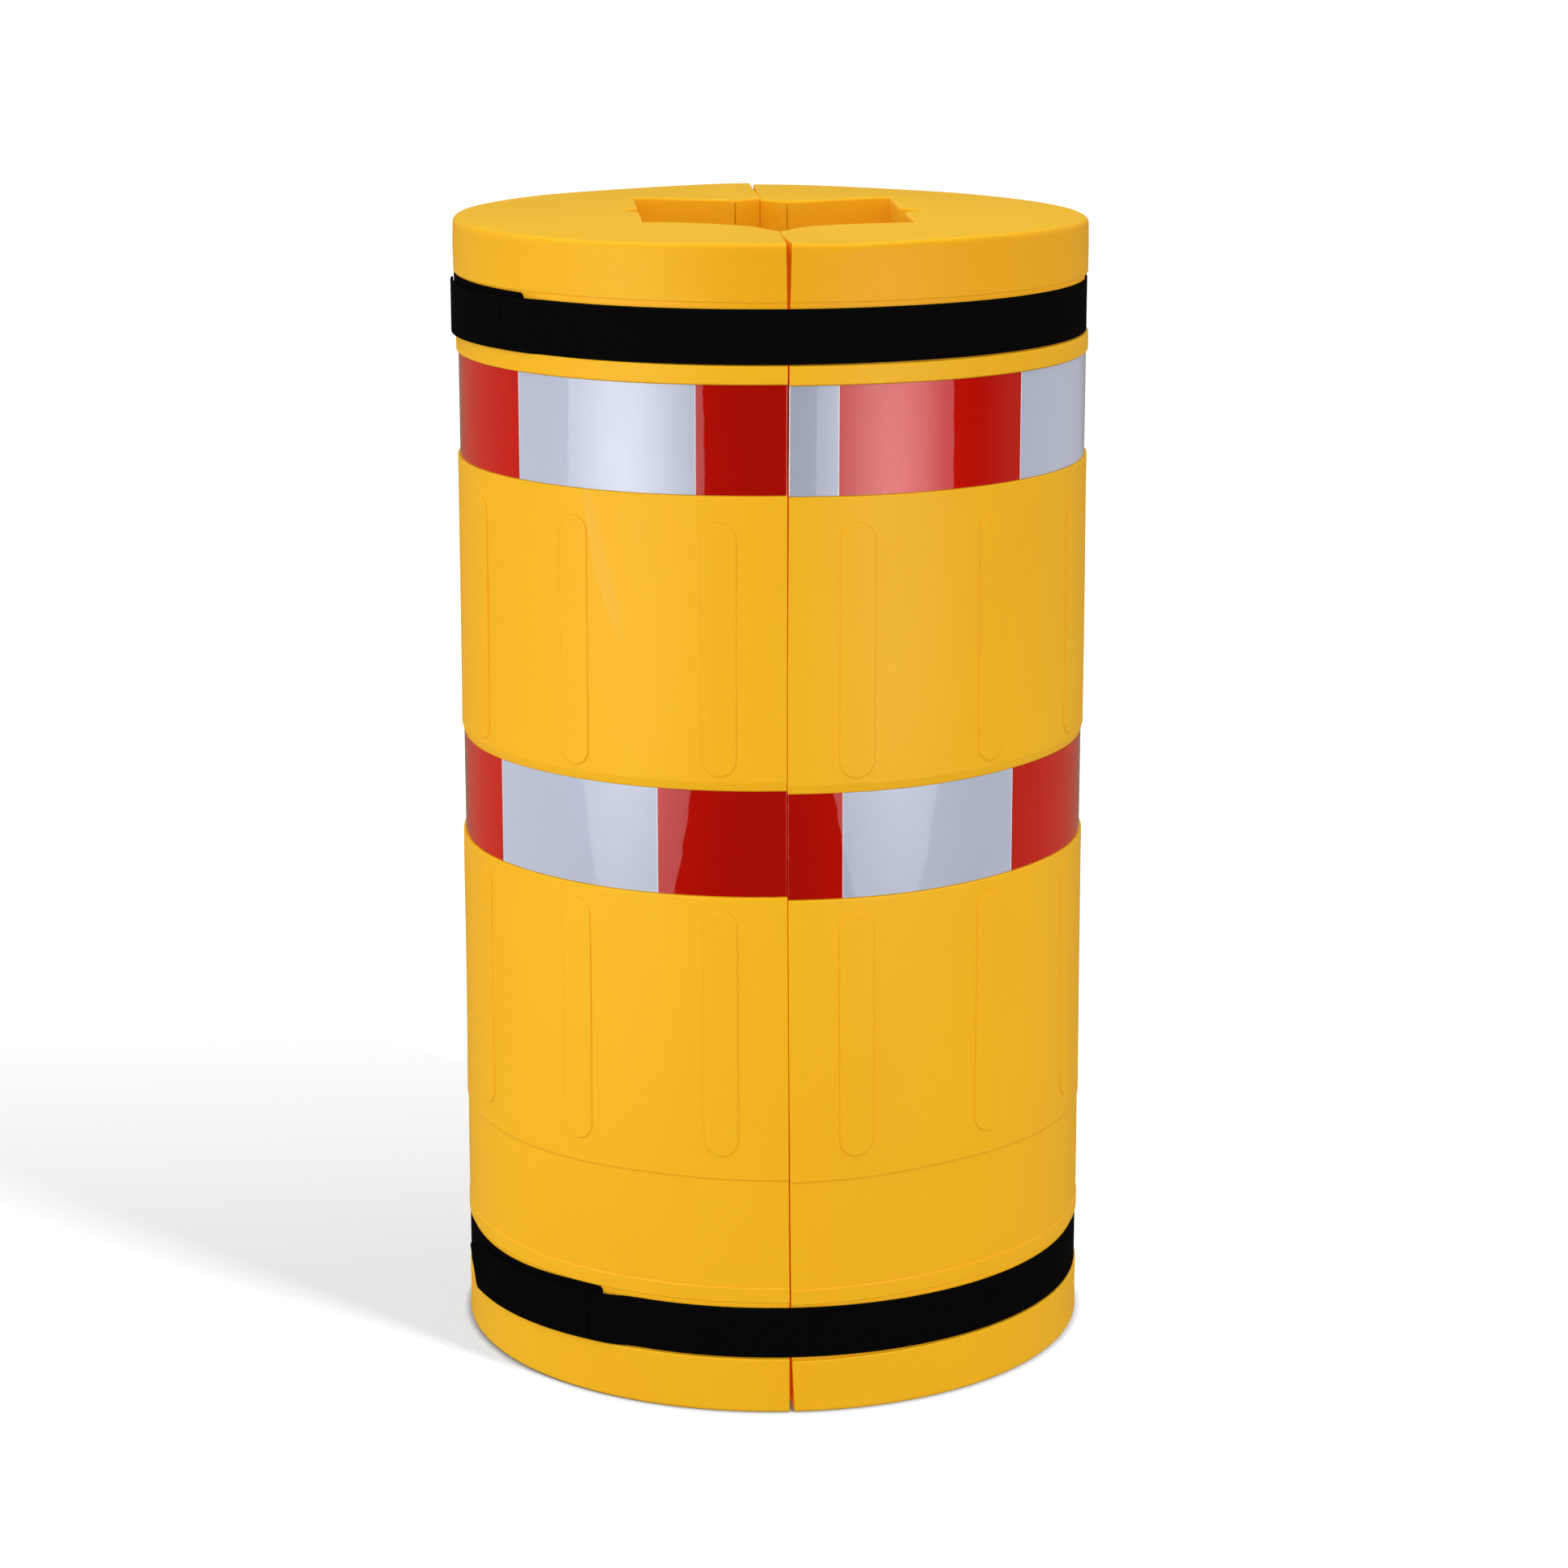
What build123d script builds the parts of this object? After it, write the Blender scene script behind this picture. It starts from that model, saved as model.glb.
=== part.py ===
from build123d import *
from math import cos, degrees, radians, sin, tan
import os

# Column protector: two identical hollow half shells of moulded plastic close round a square column,
# carry red and white reflective tape, and are tied together by two hook-and-loop straps.
# Z is the column's axis with the floor at Z = 0, the halves part on the plane X = 0, front is -Y.
# Lengths are millimetres. Angles are degrees, counted from the front seam round to the back seam.

# Shell body
overall_height = 1110.0
base_radius = 310.0
draft_angle = 0.2
wall_thickness = 3.5
foot_round = 3.0
lid_round = 5.5
edge_round = 1.3

# Column opening, with a V notch in the middle of each side
column_opening = 254.0
notch_width = 46.0
notch_depth = 20.0
opening_round = 3.0

# Parting faces: a hairline apart, and set further back towards the ends of the seam
parting_gap = 0.6
top_setback = 3.2
top_setback_length = 150.0
leading_foot_setback = 0.6
trailing_foot_setback = 5.5
foot_setback_length = 75.0
foot_setback_depth = 110.0

# Straps and the grooves that hold them
strap_width = 50.0
strap_thickness = 1.8
groove_room_above = 5.0
groove_room_below = 1.5
groove_depth = 3.3
lower_strap_height = 80.0
upper_strap_drop = 83.7
layer_gap = 0.3
strap_joint_gap = 0.3
upper_under_end_angle = 51.8
lower_under_end_angle = 35.0
step_length = 26.0
step_lead = 5.0

# Hook patch, its stitching and the free pull tab at the strap's outer end
hook_length = 162.0
hook_thickness = 1.2
hook_margin = 2.0
upper_stitch_angle = 57.4
lower_stitch_angle = 37.9
stitch_count = 10
stitch_pitch = 4.6
stitch_length = 3.2
stitch_width = 0.9
stitch_relief = 0.35
tab_length = 37.0
tab_corner_round = 4.0

# Reflective tape and its recesses
tape_width = 100.0
tape_thickness = 0.5
tape_margin = 0.6
tape_seat_gap = 0.3
recess_depth = 3.0
lower_tape_height = 557.0
upper_tape_drop = 178.4
block_length = 198.5
lower_right_block_length = 188.5
block_gap = 0.4
tape_end_margin = 1.5
upper_left_lead = 85.0
upper_right_lead = 46.0
lower_left_lead = 124.0
lower_right_lead = 50.5

# Mouldings on the body: foot bead, skirt, rounded hem over the lower tape, raised pads
bead_width = 15.0
bead_slope = 1.7
skirt_inset = 1.5
skirt_top = 231.3
skirt_step = 1.6
hem_inset = 2.2
hem_rise = 8.0
pad_width = 33.0
pad_relief = 1.2
pad_root = 1.5
pad_first_angle = 11.8
pad_pitch = 27.5
pads_per_quarter = 3
pad_margin_near_lower_tape = 13.0
pad_margin_under_upper_tape = 24.0
pad_margin_over_skirt = 23.0

# Heights and radii that follow from the sizes above
upper_strap_height = overall_height - upper_strap_drop
upper_tape_height = overall_height - upper_tape_drop
groove_below = strap_width / 2 + groove_room_below
groove_above = strap_width / 2 + groove_room_above
half_recess = tape_width / 2 + tape_margin
bead_top = lower_strap_height + groove_above + bead_width
hem_foot = lower_tape_height + half_recess
small_round = min(edge_round, 0.45 * groove_depth, 0.45 * recess_depth)
opening_half = column_opening / 2


def body_radius(height):
    """Outer radius of the drafted body at a height."""
    return base_radius - height * tan(radians(draft_angle))


def arc_angle(length, radius):
    """Angle that a length takes up along a circle."""
    return degrees(length / radius)


def turned(radius, angle, height=0):
    """Point at a radius and an angle from the front seam, on the left for positive angles."""
    return Vector(-radius * sin(radians(angle)), -radius * cos(radians(angle)), height)


lower_groove_floor = body_radius(lower_strap_height) - groove_depth
upper_groove_floor = body_radius(upper_strap_height) - groove_depth
lower_tape_floor = body_radius(lower_tape_height) - recess_depth
upper_tape_floor = body_radius(upper_tape_height) - recess_depth


def channel(centre, below, above, floor):
    """Section corners (radius, height, rounding) of a square channel in the drafted body, upwards."""
    low = centre - below
    high = centre + above
    return [
        (body_radius(low), low, small_round),
        (floor, low, 0),
        (floor, high, 0),
        (body_radius(high), high, small_round),
    ]


# Half section of the body, from the axis at the floor up the outside to the lid
section = [(0, 0, 0), (base_radius, 0, foot_round)]
section += channel(lower_strap_height, groove_below, groove_above, lower_groove_floor)
section += [
    (body_radius(bead_top), bead_top, small_round),
    (body_radius(bead_top) - skirt_inset, bead_top + bead_slope, 0),
    (body_radius(skirt_top) - skirt_inset, skirt_top, 0),
    (body_radius(skirt_top), skirt_top + skirt_step, 0),
]
section += channel(lower_tape_height, half_recess, half_recess, lower_tape_floor)[:-1]
section += [
    (body_radius(hem_foot) - hem_inset, hem_foot, 0),
    (body_radius(hem_foot + hem_rise), hem_foot + hem_rise, hem_rise),
]
section += channel(upper_tape_height, half_recess, half_recess, upper_tape_floor)
section += channel(upper_strap_height, groove_below, groove_above, upper_groove_floor)
section += [(body_radius(overall_height), overall_height, lid_round), (0, overall_height, 0)]
section_corners = [(radius, height) for radius, height, rounding in section]
section_rounds = [rounding for radius, height, rounding in section]

# Plan of the column opening: a square with a V notch in the middle of each side
opening_side = [
    Vector(opening_half, -opening_half),
    Vector(opening_half, -notch_width / 2),
    Vector(opening_half + notch_depth, 0),
    Vector(opening_half, notch_width / 2),
]
opening_corners = [corner.rotate(Axis.Z, 90 * side) for side in range(4) for corner in opening_side]


def seam_planes(inset):
    """Planes that end the left half at the seam: one upright, and one leaning back at each corner."""
    seam = -parting_gap / 2
    planes = [Plane.YZ.offset(seam - inset)]
    notch_tip = opening_half + notch_depth
    foot_reach = base_radius - foot_setback_depth
    corners = [
        (-1, notch_tip, overall_height, overall_height - top_setback_length, top_setback),
        (1, notch_tip, overall_height, overall_height - top_setback_length, top_setback),
        (-1, foot_reach, 0, foot_setback_length, leading_foot_setback),
        (1, foot_reach, 0, foot_setback_length, trailing_foot_setback),
    ]
    for side, reach, end_height, fade_height, setback in corners:
        inner = Vector(seam, side * reach, end_height)
        fade = Vector(seam, side * base_radius, fade_height)
        corner = Vector(seam - setback, side * base_radius, end_height)
        normal = (fade - inner).cross(corner - inner)
        outward = normal if normal.X > 0 else -normal
        planes.append(Plane(origin=inner, z_dir=outward).offset(-inset))
    return planes


def pad_row(low, high):
    """Upright raised pads with round ends on the left half, between two heights."""
    quarter = [pad_first_angle + pad_pitch * step for step in range(pads_per_quarter)]
    with BuildPart() as uprights:
        for angle in quarter + [180 - angle for angle in quarter]:
            middle = Vector(0, 0, (low + high) / 2)
            with BuildSketch(Plane(origin=middle, x_dir=(0, 0, 1), z_dir=turned(1, angle))):
                SlotOverall(high - low, pad_width)
            extrude(amount=base_radius + pad_width)
    with BuildPart() as row:
        with BuildSketch(Plane.XZ):
            with BuildLine():
                Polyline(
                    (body_radius(low) - pad_root, low),
                    (body_radius(low) + pad_relief, low),
                    (body_radius(high) + pad_relief, high),
                    (body_radius(high) - pad_root, high),
                    close=True,
                )
            make_face()
        revolve(axis=Axis.Z)
        add(uprights.part, mode=Mode.INTERSECT)
    return row.part


# Space inside the left half: the section drawn in by the wall, clear of the opening and the seam
with BuildPart() as cavity:
    with BuildSketch(Plane.XZ):
        with BuildLine():
            FilletPolyline(*section_corners, radius=section_rounds, close=True)
        make_face()
        offset(amount=-wall_thickness, kind=Kind.INTERSECTION)
    revolve(axis=Axis.Z)
    with BuildSketch(Plane.XY):
        with BuildLine():
            Polyline(*opening_corners, close=True)
        make_face()
        offset(amount=wall_thickness, kind=Kind.INTERSECTION)
    extrude(amount=overall_height, mode=Mode.SUBTRACT)
    for plane in seam_planes(wall_thickness):
        split(bisect_by=plane, keep=Keep.BOTTOM)

# Left half shell: the turned body with the column opening through it, cut at the seam and hollow
with BuildPart() as left_shell:
    with BuildSketch(Plane.XZ):
        with BuildLine():
            FilletPolyline(*section_corners, radius=section_rounds, close=True)
        make_face()
    revolve(axis=Axis.Z)
    with BuildSketch(Plane.XY):
        with BuildLine():
            Polyline(*opening_corners, close=True)
        make_face()
    extrude(amount=overall_height, mode=Mode.SUBTRACT)
    level_faces = left_shell.faces().filter_by(Plane.XY).sort_by(Axis.Z)
    mouth_edges = level_faces[0].inner_wires()[0].edges() + level_faces[-1].inner_wires()[0].edges()
    fillet(mouth_edges, opening_round)
    lower_pad_top = lower_tape_height - half_recess - pad_margin_near_lower_tape
    upper_pad_top = upper_tape_height - half_recess - pad_margin_under_upper_tape
    add(pad_row(skirt_top + pad_margin_over_skirt, lower_pad_top))
    add(pad_row(hem_foot + pad_margin_near_lower_tape, upper_pad_top))
    for plane in seam_planes(0):
        split(bisect_by=plane, keep=Keep.BOTTOM)
    add(cavity.part, mode=Mode.SUBTRACT)

# The right half is the same moulding turned half a turn about the column
with BuildPart() as right_shell:
    add(left_shell.part, rotation=(0, 0, 180))


def ring_sector(inner, outer, start, finish):
    """Face lines of a ring sector between two angles from the front seam, left for positive angles."""
    outer_arc = CenterArc((0, 0), outer, 270 - finish, finish - start)
    inner_arc = CenterArc((0, 0), inner, 270 - finish, finish - start)
    Line(outer_arc @ 0, inner_arc @ 0)
    Line(outer_arc @ 1, inner_arc @ 1)


def band(low, width, sectors):
    """Curved strips of one width, one for each (inner radius, outer radius, start, finish)."""
    with BuildPart() as strip:
        for inner, outer, start, finish in sectors:
            with BuildSketch(Plane.XY.offset(low)):
                with BuildLine():
                    ring_sector(inner, outer, start, finish)
                make_face()
            extrude(amount=width)
    return strip


def tape_strip(side, height, floor, lead, block, first_colour):
    """Red and white blocks of one tape strip; side is 1 on the left half and -1 on the right."""
    inner = floor + tape_seat_gap
    outer = inner + tape_thickness
    end_angle = arc_angle(tape_end_margin, floor)
    half_gap = arc_angle(block_gap, floor) / 2
    block_ends = [0.0]
    reach = arc_angle(lead, floor)
    while reach < 180 - end_angle:
        block_ends.append(reach)
        reach += arc_angle(block, floor)
    block_ends.append(180.0)
    blocks = {"red": [], "white": []}
    colours = [first_colour, "white" if first_colour == "red" else "red"]
    for index, (start, finish) in enumerate(zip(block_ends, block_ends[1:])):
        near = max(start + half_gap, end_angle)
        far = min(finish - half_gap, 180 - end_angle)
        span = (near, far) if side > 0 else (-far, -near)
        blocks[colours[index % 2]].append((inner, outer, *span))
    low = height - tape_width / 2
    return {colour: band(low, tape_width, sectors) for colour, sectors in blocks.items()}


def strap(height, floor, under_end_angle, stitch_angle):
    """Pieces of one strap, from its under end round the back and right to the tab at its outer end."""
    low = height - strap_width / 2
    under_inner = floor + layer_gap
    under_outer = under_inner + strap_thickness
    hook_inner = under_outer + layer_gap
    hook_outer = hook_inner + hook_thickness
    over_inner = hook_outer + layer_gap
    over_outer = over_inner + strap_thickness
    end_gap = arc_angle(strap_joint_gap / 2, under_outer)
    tab_angle = stitch_angle + arc_angle(hook_length, over_inner)
    step_finish = under_end_angle - arc_angle(step_lead, under_inner)
    step_start = step_finish - arc_angle(step_length, under_inner)
    pieces = {
        "right_run": band(low, strap_width, [(under_inner, under_outer, end_gap - 180, -end_gap)]),
        "back_arm": band(low, strap_width, [(under_inner, under_outer, under_end_angle, 180 - end_gap)]),
    }

    # The front arm lies in the groove, steps up over the under end and runs on over the under layer
    with BuildPart() as front_arm:
        with BuildSketch(Plane.XY.offset(low)):
            with BuildLine():
                faces = [(under_inner, over_inner), (under_outer, over_outer)]
                for under, over in faces:
                    CenterArc((0, 0), under, 270 - step_start, step_start - end_gap)
                    CenterArc((0, 0), over, 270 - tab_angle, tab_angle - step_finish)
                    Line(turned(under, step_start), turned(over, step_finish))
                Line(turned(under_inner, end_gap), turned(under_outer, end_gap))
                Line(turned(over_inner, tab_angle), turned(over_outer, tab_angle))
            make_face()
        extrude(amount=strap_width)
    pieces["front_arm"] = front_arm

    hook_start = stitch_angle - arc_angle(hook_margin, over_inner)
    pieces["hook_patch"] = band(low, strap_width, [(hook_inner, hook_outer, hook_start, tab_angle)])

    # One upright row of stitches stands on the outer face where the hook patch begins
    half_stitch = arc_angle(stitch_width, over_outer) / 2
    row_low = height - ((stitch_count - 1) * stitch_pitch + stitch_length) / 2
    with BuildPart() as stitching:
        for index in range(stitch_count):
            with BuildSketch(Plane.XY.offset(row_low + index * stitch_pitch)):
                with BuildLine():
                    ring_sector(
                        over_outer,
                        over_outer + stitch_relief,
                        stitch_angle - half_stitch,
                        stitch_angle + half_stitch,
                    )
                make_face()
            extrude(amount=stitch_length)
    pieces["stitching"] = stitching

    # The pull tab runs on straight from the arm and has round corners at its tip
    tab_root = turned(over_inner, tab_angle, height)
    along = turned(1, tab_angle + 90)
    tab_start = tab_root + along * strap_joint_gap
    with BuildPart() as pull_tab:
        with BuildSketch(Plane(origin=tab_start, x_dir=along, z_dir=turned(1, tab_angle))) as outline:
            Rectangle(tab_length, strap_width, align=(Align.MIN, Align.CENTER))
            fillet(outline.vertices().group_by(Axis.X)[-1], tab_corner_round)
        extrude(amount=strap_thickness)
    pieces["pull_tab"] = pull_tab
    return pieces


nodes = {"left_shell": left_shell, "right_shell": right_shell}

tape_strips = {
    "upper_left": tape_strip(
        1, upper_tape_height, upper_tape_floor, upper_left_lead, block_length, "red"
    ),
    "upper_right": tape_strip(
        -1, upper_tape_height, upper_tape_floor, upper_right_lead, block_length, "white"
    ),
    "lower_left": tape_strip(
        1, lower_tape_height, lower_tape_floor, lower_left_lead, block_length, "red"
    ),
    "lower_right": tape_strip(
        -1, lower_tape_height, lower_tape_floor, lower_right_lead, lower_right_block_length, "red"
    ),
}
for place, colours in tape_strips.items():
    for colour, blocks in colours.items():
        nodes[f"{place}_{colour}_tape"] = blocks

straps = {
    "upper": strap(upper_strap_height, upper_groove_floor, upper_under_end_angle, upper_stitch_angle),
    "lower": strap(lower_strap_height, lower_groove_floor, lower_under_end_angle, lower_stitch_angle),
}
for place, pieces in straps.items():
    for piece, solid in pieces.items():
        nodes[f"{place}_strap_{piece}"] = solid

os.makedirs("parts", exist_ok=True)
for name, node in nodes.items():
    node.part.label = name
    export_step(node.part, f"parts/{name}.step")
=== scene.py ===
from collections import namedtuple
from itertools import product
from math import acos, cos, pi, radians, sin, tan

import bmesh
import bpy
import numpy as np
from bpy.props import FloatProperty, FloatVectorProperty, IntProperty, PointerProperty
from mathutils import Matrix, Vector


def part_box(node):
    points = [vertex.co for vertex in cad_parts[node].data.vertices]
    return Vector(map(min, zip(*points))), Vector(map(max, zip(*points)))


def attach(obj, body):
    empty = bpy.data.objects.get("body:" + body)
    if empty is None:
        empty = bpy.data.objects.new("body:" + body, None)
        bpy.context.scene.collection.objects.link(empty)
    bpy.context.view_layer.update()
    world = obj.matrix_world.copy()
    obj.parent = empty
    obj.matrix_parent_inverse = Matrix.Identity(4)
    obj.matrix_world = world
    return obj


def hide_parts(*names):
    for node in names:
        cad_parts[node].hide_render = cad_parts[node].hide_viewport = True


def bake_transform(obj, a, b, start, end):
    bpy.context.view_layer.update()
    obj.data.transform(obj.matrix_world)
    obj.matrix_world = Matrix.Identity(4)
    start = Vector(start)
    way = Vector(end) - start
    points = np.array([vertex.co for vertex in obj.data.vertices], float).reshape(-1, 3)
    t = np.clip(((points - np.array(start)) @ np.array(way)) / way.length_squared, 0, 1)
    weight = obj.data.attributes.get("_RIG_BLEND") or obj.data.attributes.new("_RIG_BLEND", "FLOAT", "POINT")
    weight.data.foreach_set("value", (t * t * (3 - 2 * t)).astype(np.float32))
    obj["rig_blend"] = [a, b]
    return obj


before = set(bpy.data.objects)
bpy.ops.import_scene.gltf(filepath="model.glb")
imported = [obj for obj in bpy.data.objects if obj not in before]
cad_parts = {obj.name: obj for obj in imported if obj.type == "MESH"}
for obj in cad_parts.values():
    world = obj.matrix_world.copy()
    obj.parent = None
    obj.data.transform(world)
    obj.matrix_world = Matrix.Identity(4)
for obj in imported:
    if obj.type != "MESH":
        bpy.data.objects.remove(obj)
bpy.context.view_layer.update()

bl_info = {
    "name": "Column Protector",
    "version": (1, 0, 0),
    "blender": (4, 5, 0),
    "location": "View3D > Sidebar > Column Protector",
    "description": "Dresses the two half shells, reflective tape and straps of a column protector",
    "category": "Object",
}

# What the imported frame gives: the solids' box, the shell's size, and where tape and straps lie
ROWS = ("upper", "lower")
SIDES = {"left": 1, "right": -1}
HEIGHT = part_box("left_shell")[1].z
BASE_RADIUS = -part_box("left_shell")[0].x
TAPE_BOX = {row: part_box(f"{row}_left_red_tape") for row in ROWS}
STRAP_BOX = {row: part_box(f"{row}_strap_right_run") for row in ROWS}
BLOCK_COLOURS = ("red", "white")

Patch = namedtuple("Patch", "points uv flip closed attributes")
Strip = namedtuple("Strip", "row side floor margin lead block first crease")
SoftBox = namedtuple("SoftBox", "heading distance height width tall lean middle rim")

# How far each half's lid stands over its plane: x, y and lift at spots across it, in millimetres
LID_WARP = {
    "left": (
        (-5, -306, -0.7), (-95, -291, -1.3), (-188, -241, -2.7), (-251, -176, -2.5), (-306, 0, -1.4),
        (-265, 153, -0.3), (-153, 265, 1.1), (-79, 296, 2.8), (-5, 306, 4.4), (-127, -127, 3.1),
        (-23, -127, -1.4), (0, -147, -4.3), (0, 147, 1.9), (-23, 127, 1.7), (-127, 127, 4.3), (-147, 0, 3.0),
    ),
    "right": (
        (5, -306, -0.4), (43, -303, -1.6), (90, -293, -0.9), (148, -268, 0.0), (270, -144, -0.4),
        (306, 0, -1.9), (251, 175, -0.8), (148, 268, 0.5), (70, 298, 2.2), (5, 306, 3.0), (127, -127, 1.6),
        (23, -127, -1.8), (0, -147, -4.3), (0, 147, 0.6), (23, 127, 0.0), (127, 127, 4.0), (147, 0, 2.2),
    ),
}

# How far each half's body stands over its nominal place: at heights in millimetres, angle in degrees from the
# front seam and lift in millimetres
SETTLE = {
    "left": {
        932: ((1, 1.2), (9, 0.9), (16, 0.5), (24, 0), (40, -0.4), (64, -0.7), (100, -0.4), (180, 0)),
        557: ((1, 1.4), (5, 1), (16, 0.6), (26, 0), (48, -0.3), (72, -1.2), (110, 0), (180, 0)),
        231: ((1, -0.3), (9, 0), (18, 0.7), (30, 0.8), (40, -0.1), (56, -0.9), (100, 0), (180, 0)),
        80: ((1, 0.2), (30, 0), (90, 0), (180, 0)),
    },
    "right": {
        932: ((1, 0.2), (16, 0), (40, -0.4), (64, -0.7), (100, 0), (180, 0)),
        557: (
            (1, -1.8), (9, -2.1), (18, -2.1), (26, -1.7), (33, -1),
            (42, 0), (56, 0.6), (75, -0.8), (110, 0), (180, 0),
        ),
        231: (
            (1, -2.7), (5, -2), (10, -1.5), (16, -0.6), (24, 1),
            (32, 1.7), (40, 1.5), (56, 0.8), (100, 0), (180, 0),
        ),
        80: ((1, -2.3), (9, -1.5), (18, -0.4), (30, 0.2), (60, 0), (180, 0)),
    },
}

# How far each strap's outer layer hangs, and how far it stands off: angle in degrees from the front seam
# towards its end, and millimetres
DROOP = {"upper": ((-20, 0), (35, 1.2), (57, 1.3), (90, 2.6)), "lower": ((28, 0), (74.6, 7.4))}
STAND_OFF = {"upper": ((57, 0), (90, 1.6)), "lower": ((40, 0), (74.6, 0.3))}

# How high each strap's inner layer rides under it, in the same terms
RISE = {
    "upper": ((51.8, 2.95), (90, 4.4), (140, 0)),
    "lower": ((35, 4.6), (41.5, 3.9), (48, 2.3), (54.5, 0.7), (61, 0)),
}

# How far the front seam leans to the left: height and lean in millimetres
SEAM_LEAN = (
    (0, -1), (120, -0.75), (200, 0), (300, 0.6), (450, 1.5),
    (620, 2.1), (720, 2.1), (920, 1.2), (1050, 0.75), (1110, 0.4),
)

# Where points lie on the way across the lid, the floor and the parting faces, as shares of the way
EASE = np.array([0.005, 0.03, 0.1, 0.3, 0.5, 0.7, 0.9, 0.97, 0.99])

# The strip whose first block from the front seam is white, and how much each strip's ends are creased
WHITE_FIRST = ("upper", "right")
CREASED = {("upper", "left"): 0.15, ("upper", "right"): 0.15, ("lower", "left"): 0.3, ("lower", "right"): 1.0}

# The soft boxes as they are mirrored, and as they light dull surfaces: heading from -Y to the right in
# degrees, distance from the axis, height, width and tallness in metres, lean to the left in degrees, and the
# shares of the brightness at the middle and at the rim
MIRRORED_BOX = {
    "left": SoftBox(-49.0, 1.25, 0.725, 1.135, 1.15, 4.3, 1.9, 0.6),
    "right": SoftBox(34.7, 1.25, 0.735, 1.09, 1.10, -4.7, 1.9, 0.6),
}
SPREAD_BOX = {
    "left": SoftBox(-53.5, 1.18, 0.58, 1.18, 1.5, 0.0, 0.7, 1.13),
    "right": SoftBox(36.0, 1.18, 0.26, 1.11, 1.3, 0.0, 0.7, 1.13),
}


def length(description, default):
    """Property that holds a length in metres."""
    return FloatProperty(description=description, default=default, unit="LENGTH", precision=5)


def turn(description, default):
    """Property that holds an angle, with its default given in degrees."""
    return FloatProperty(description=description, default=radians(default), subtype="ANGLE", unit="ROTATION")


def paint(description, default):
    """Property that holds a linear colour."""
    return FloatVectorProperty(
        description=description, default=default, size=3, subtype="COLOR", min=0.0, max=1.0
    )


def spot(description, default):
    """Property that holds a place in metres."""
    return FloatVectorProperty(description=description, default=default, size=3, subtype="XYZ")


def share(description, default):
    """Property that holds a plain number."""
    return FloatProperty(description=description, default=default)


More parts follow.
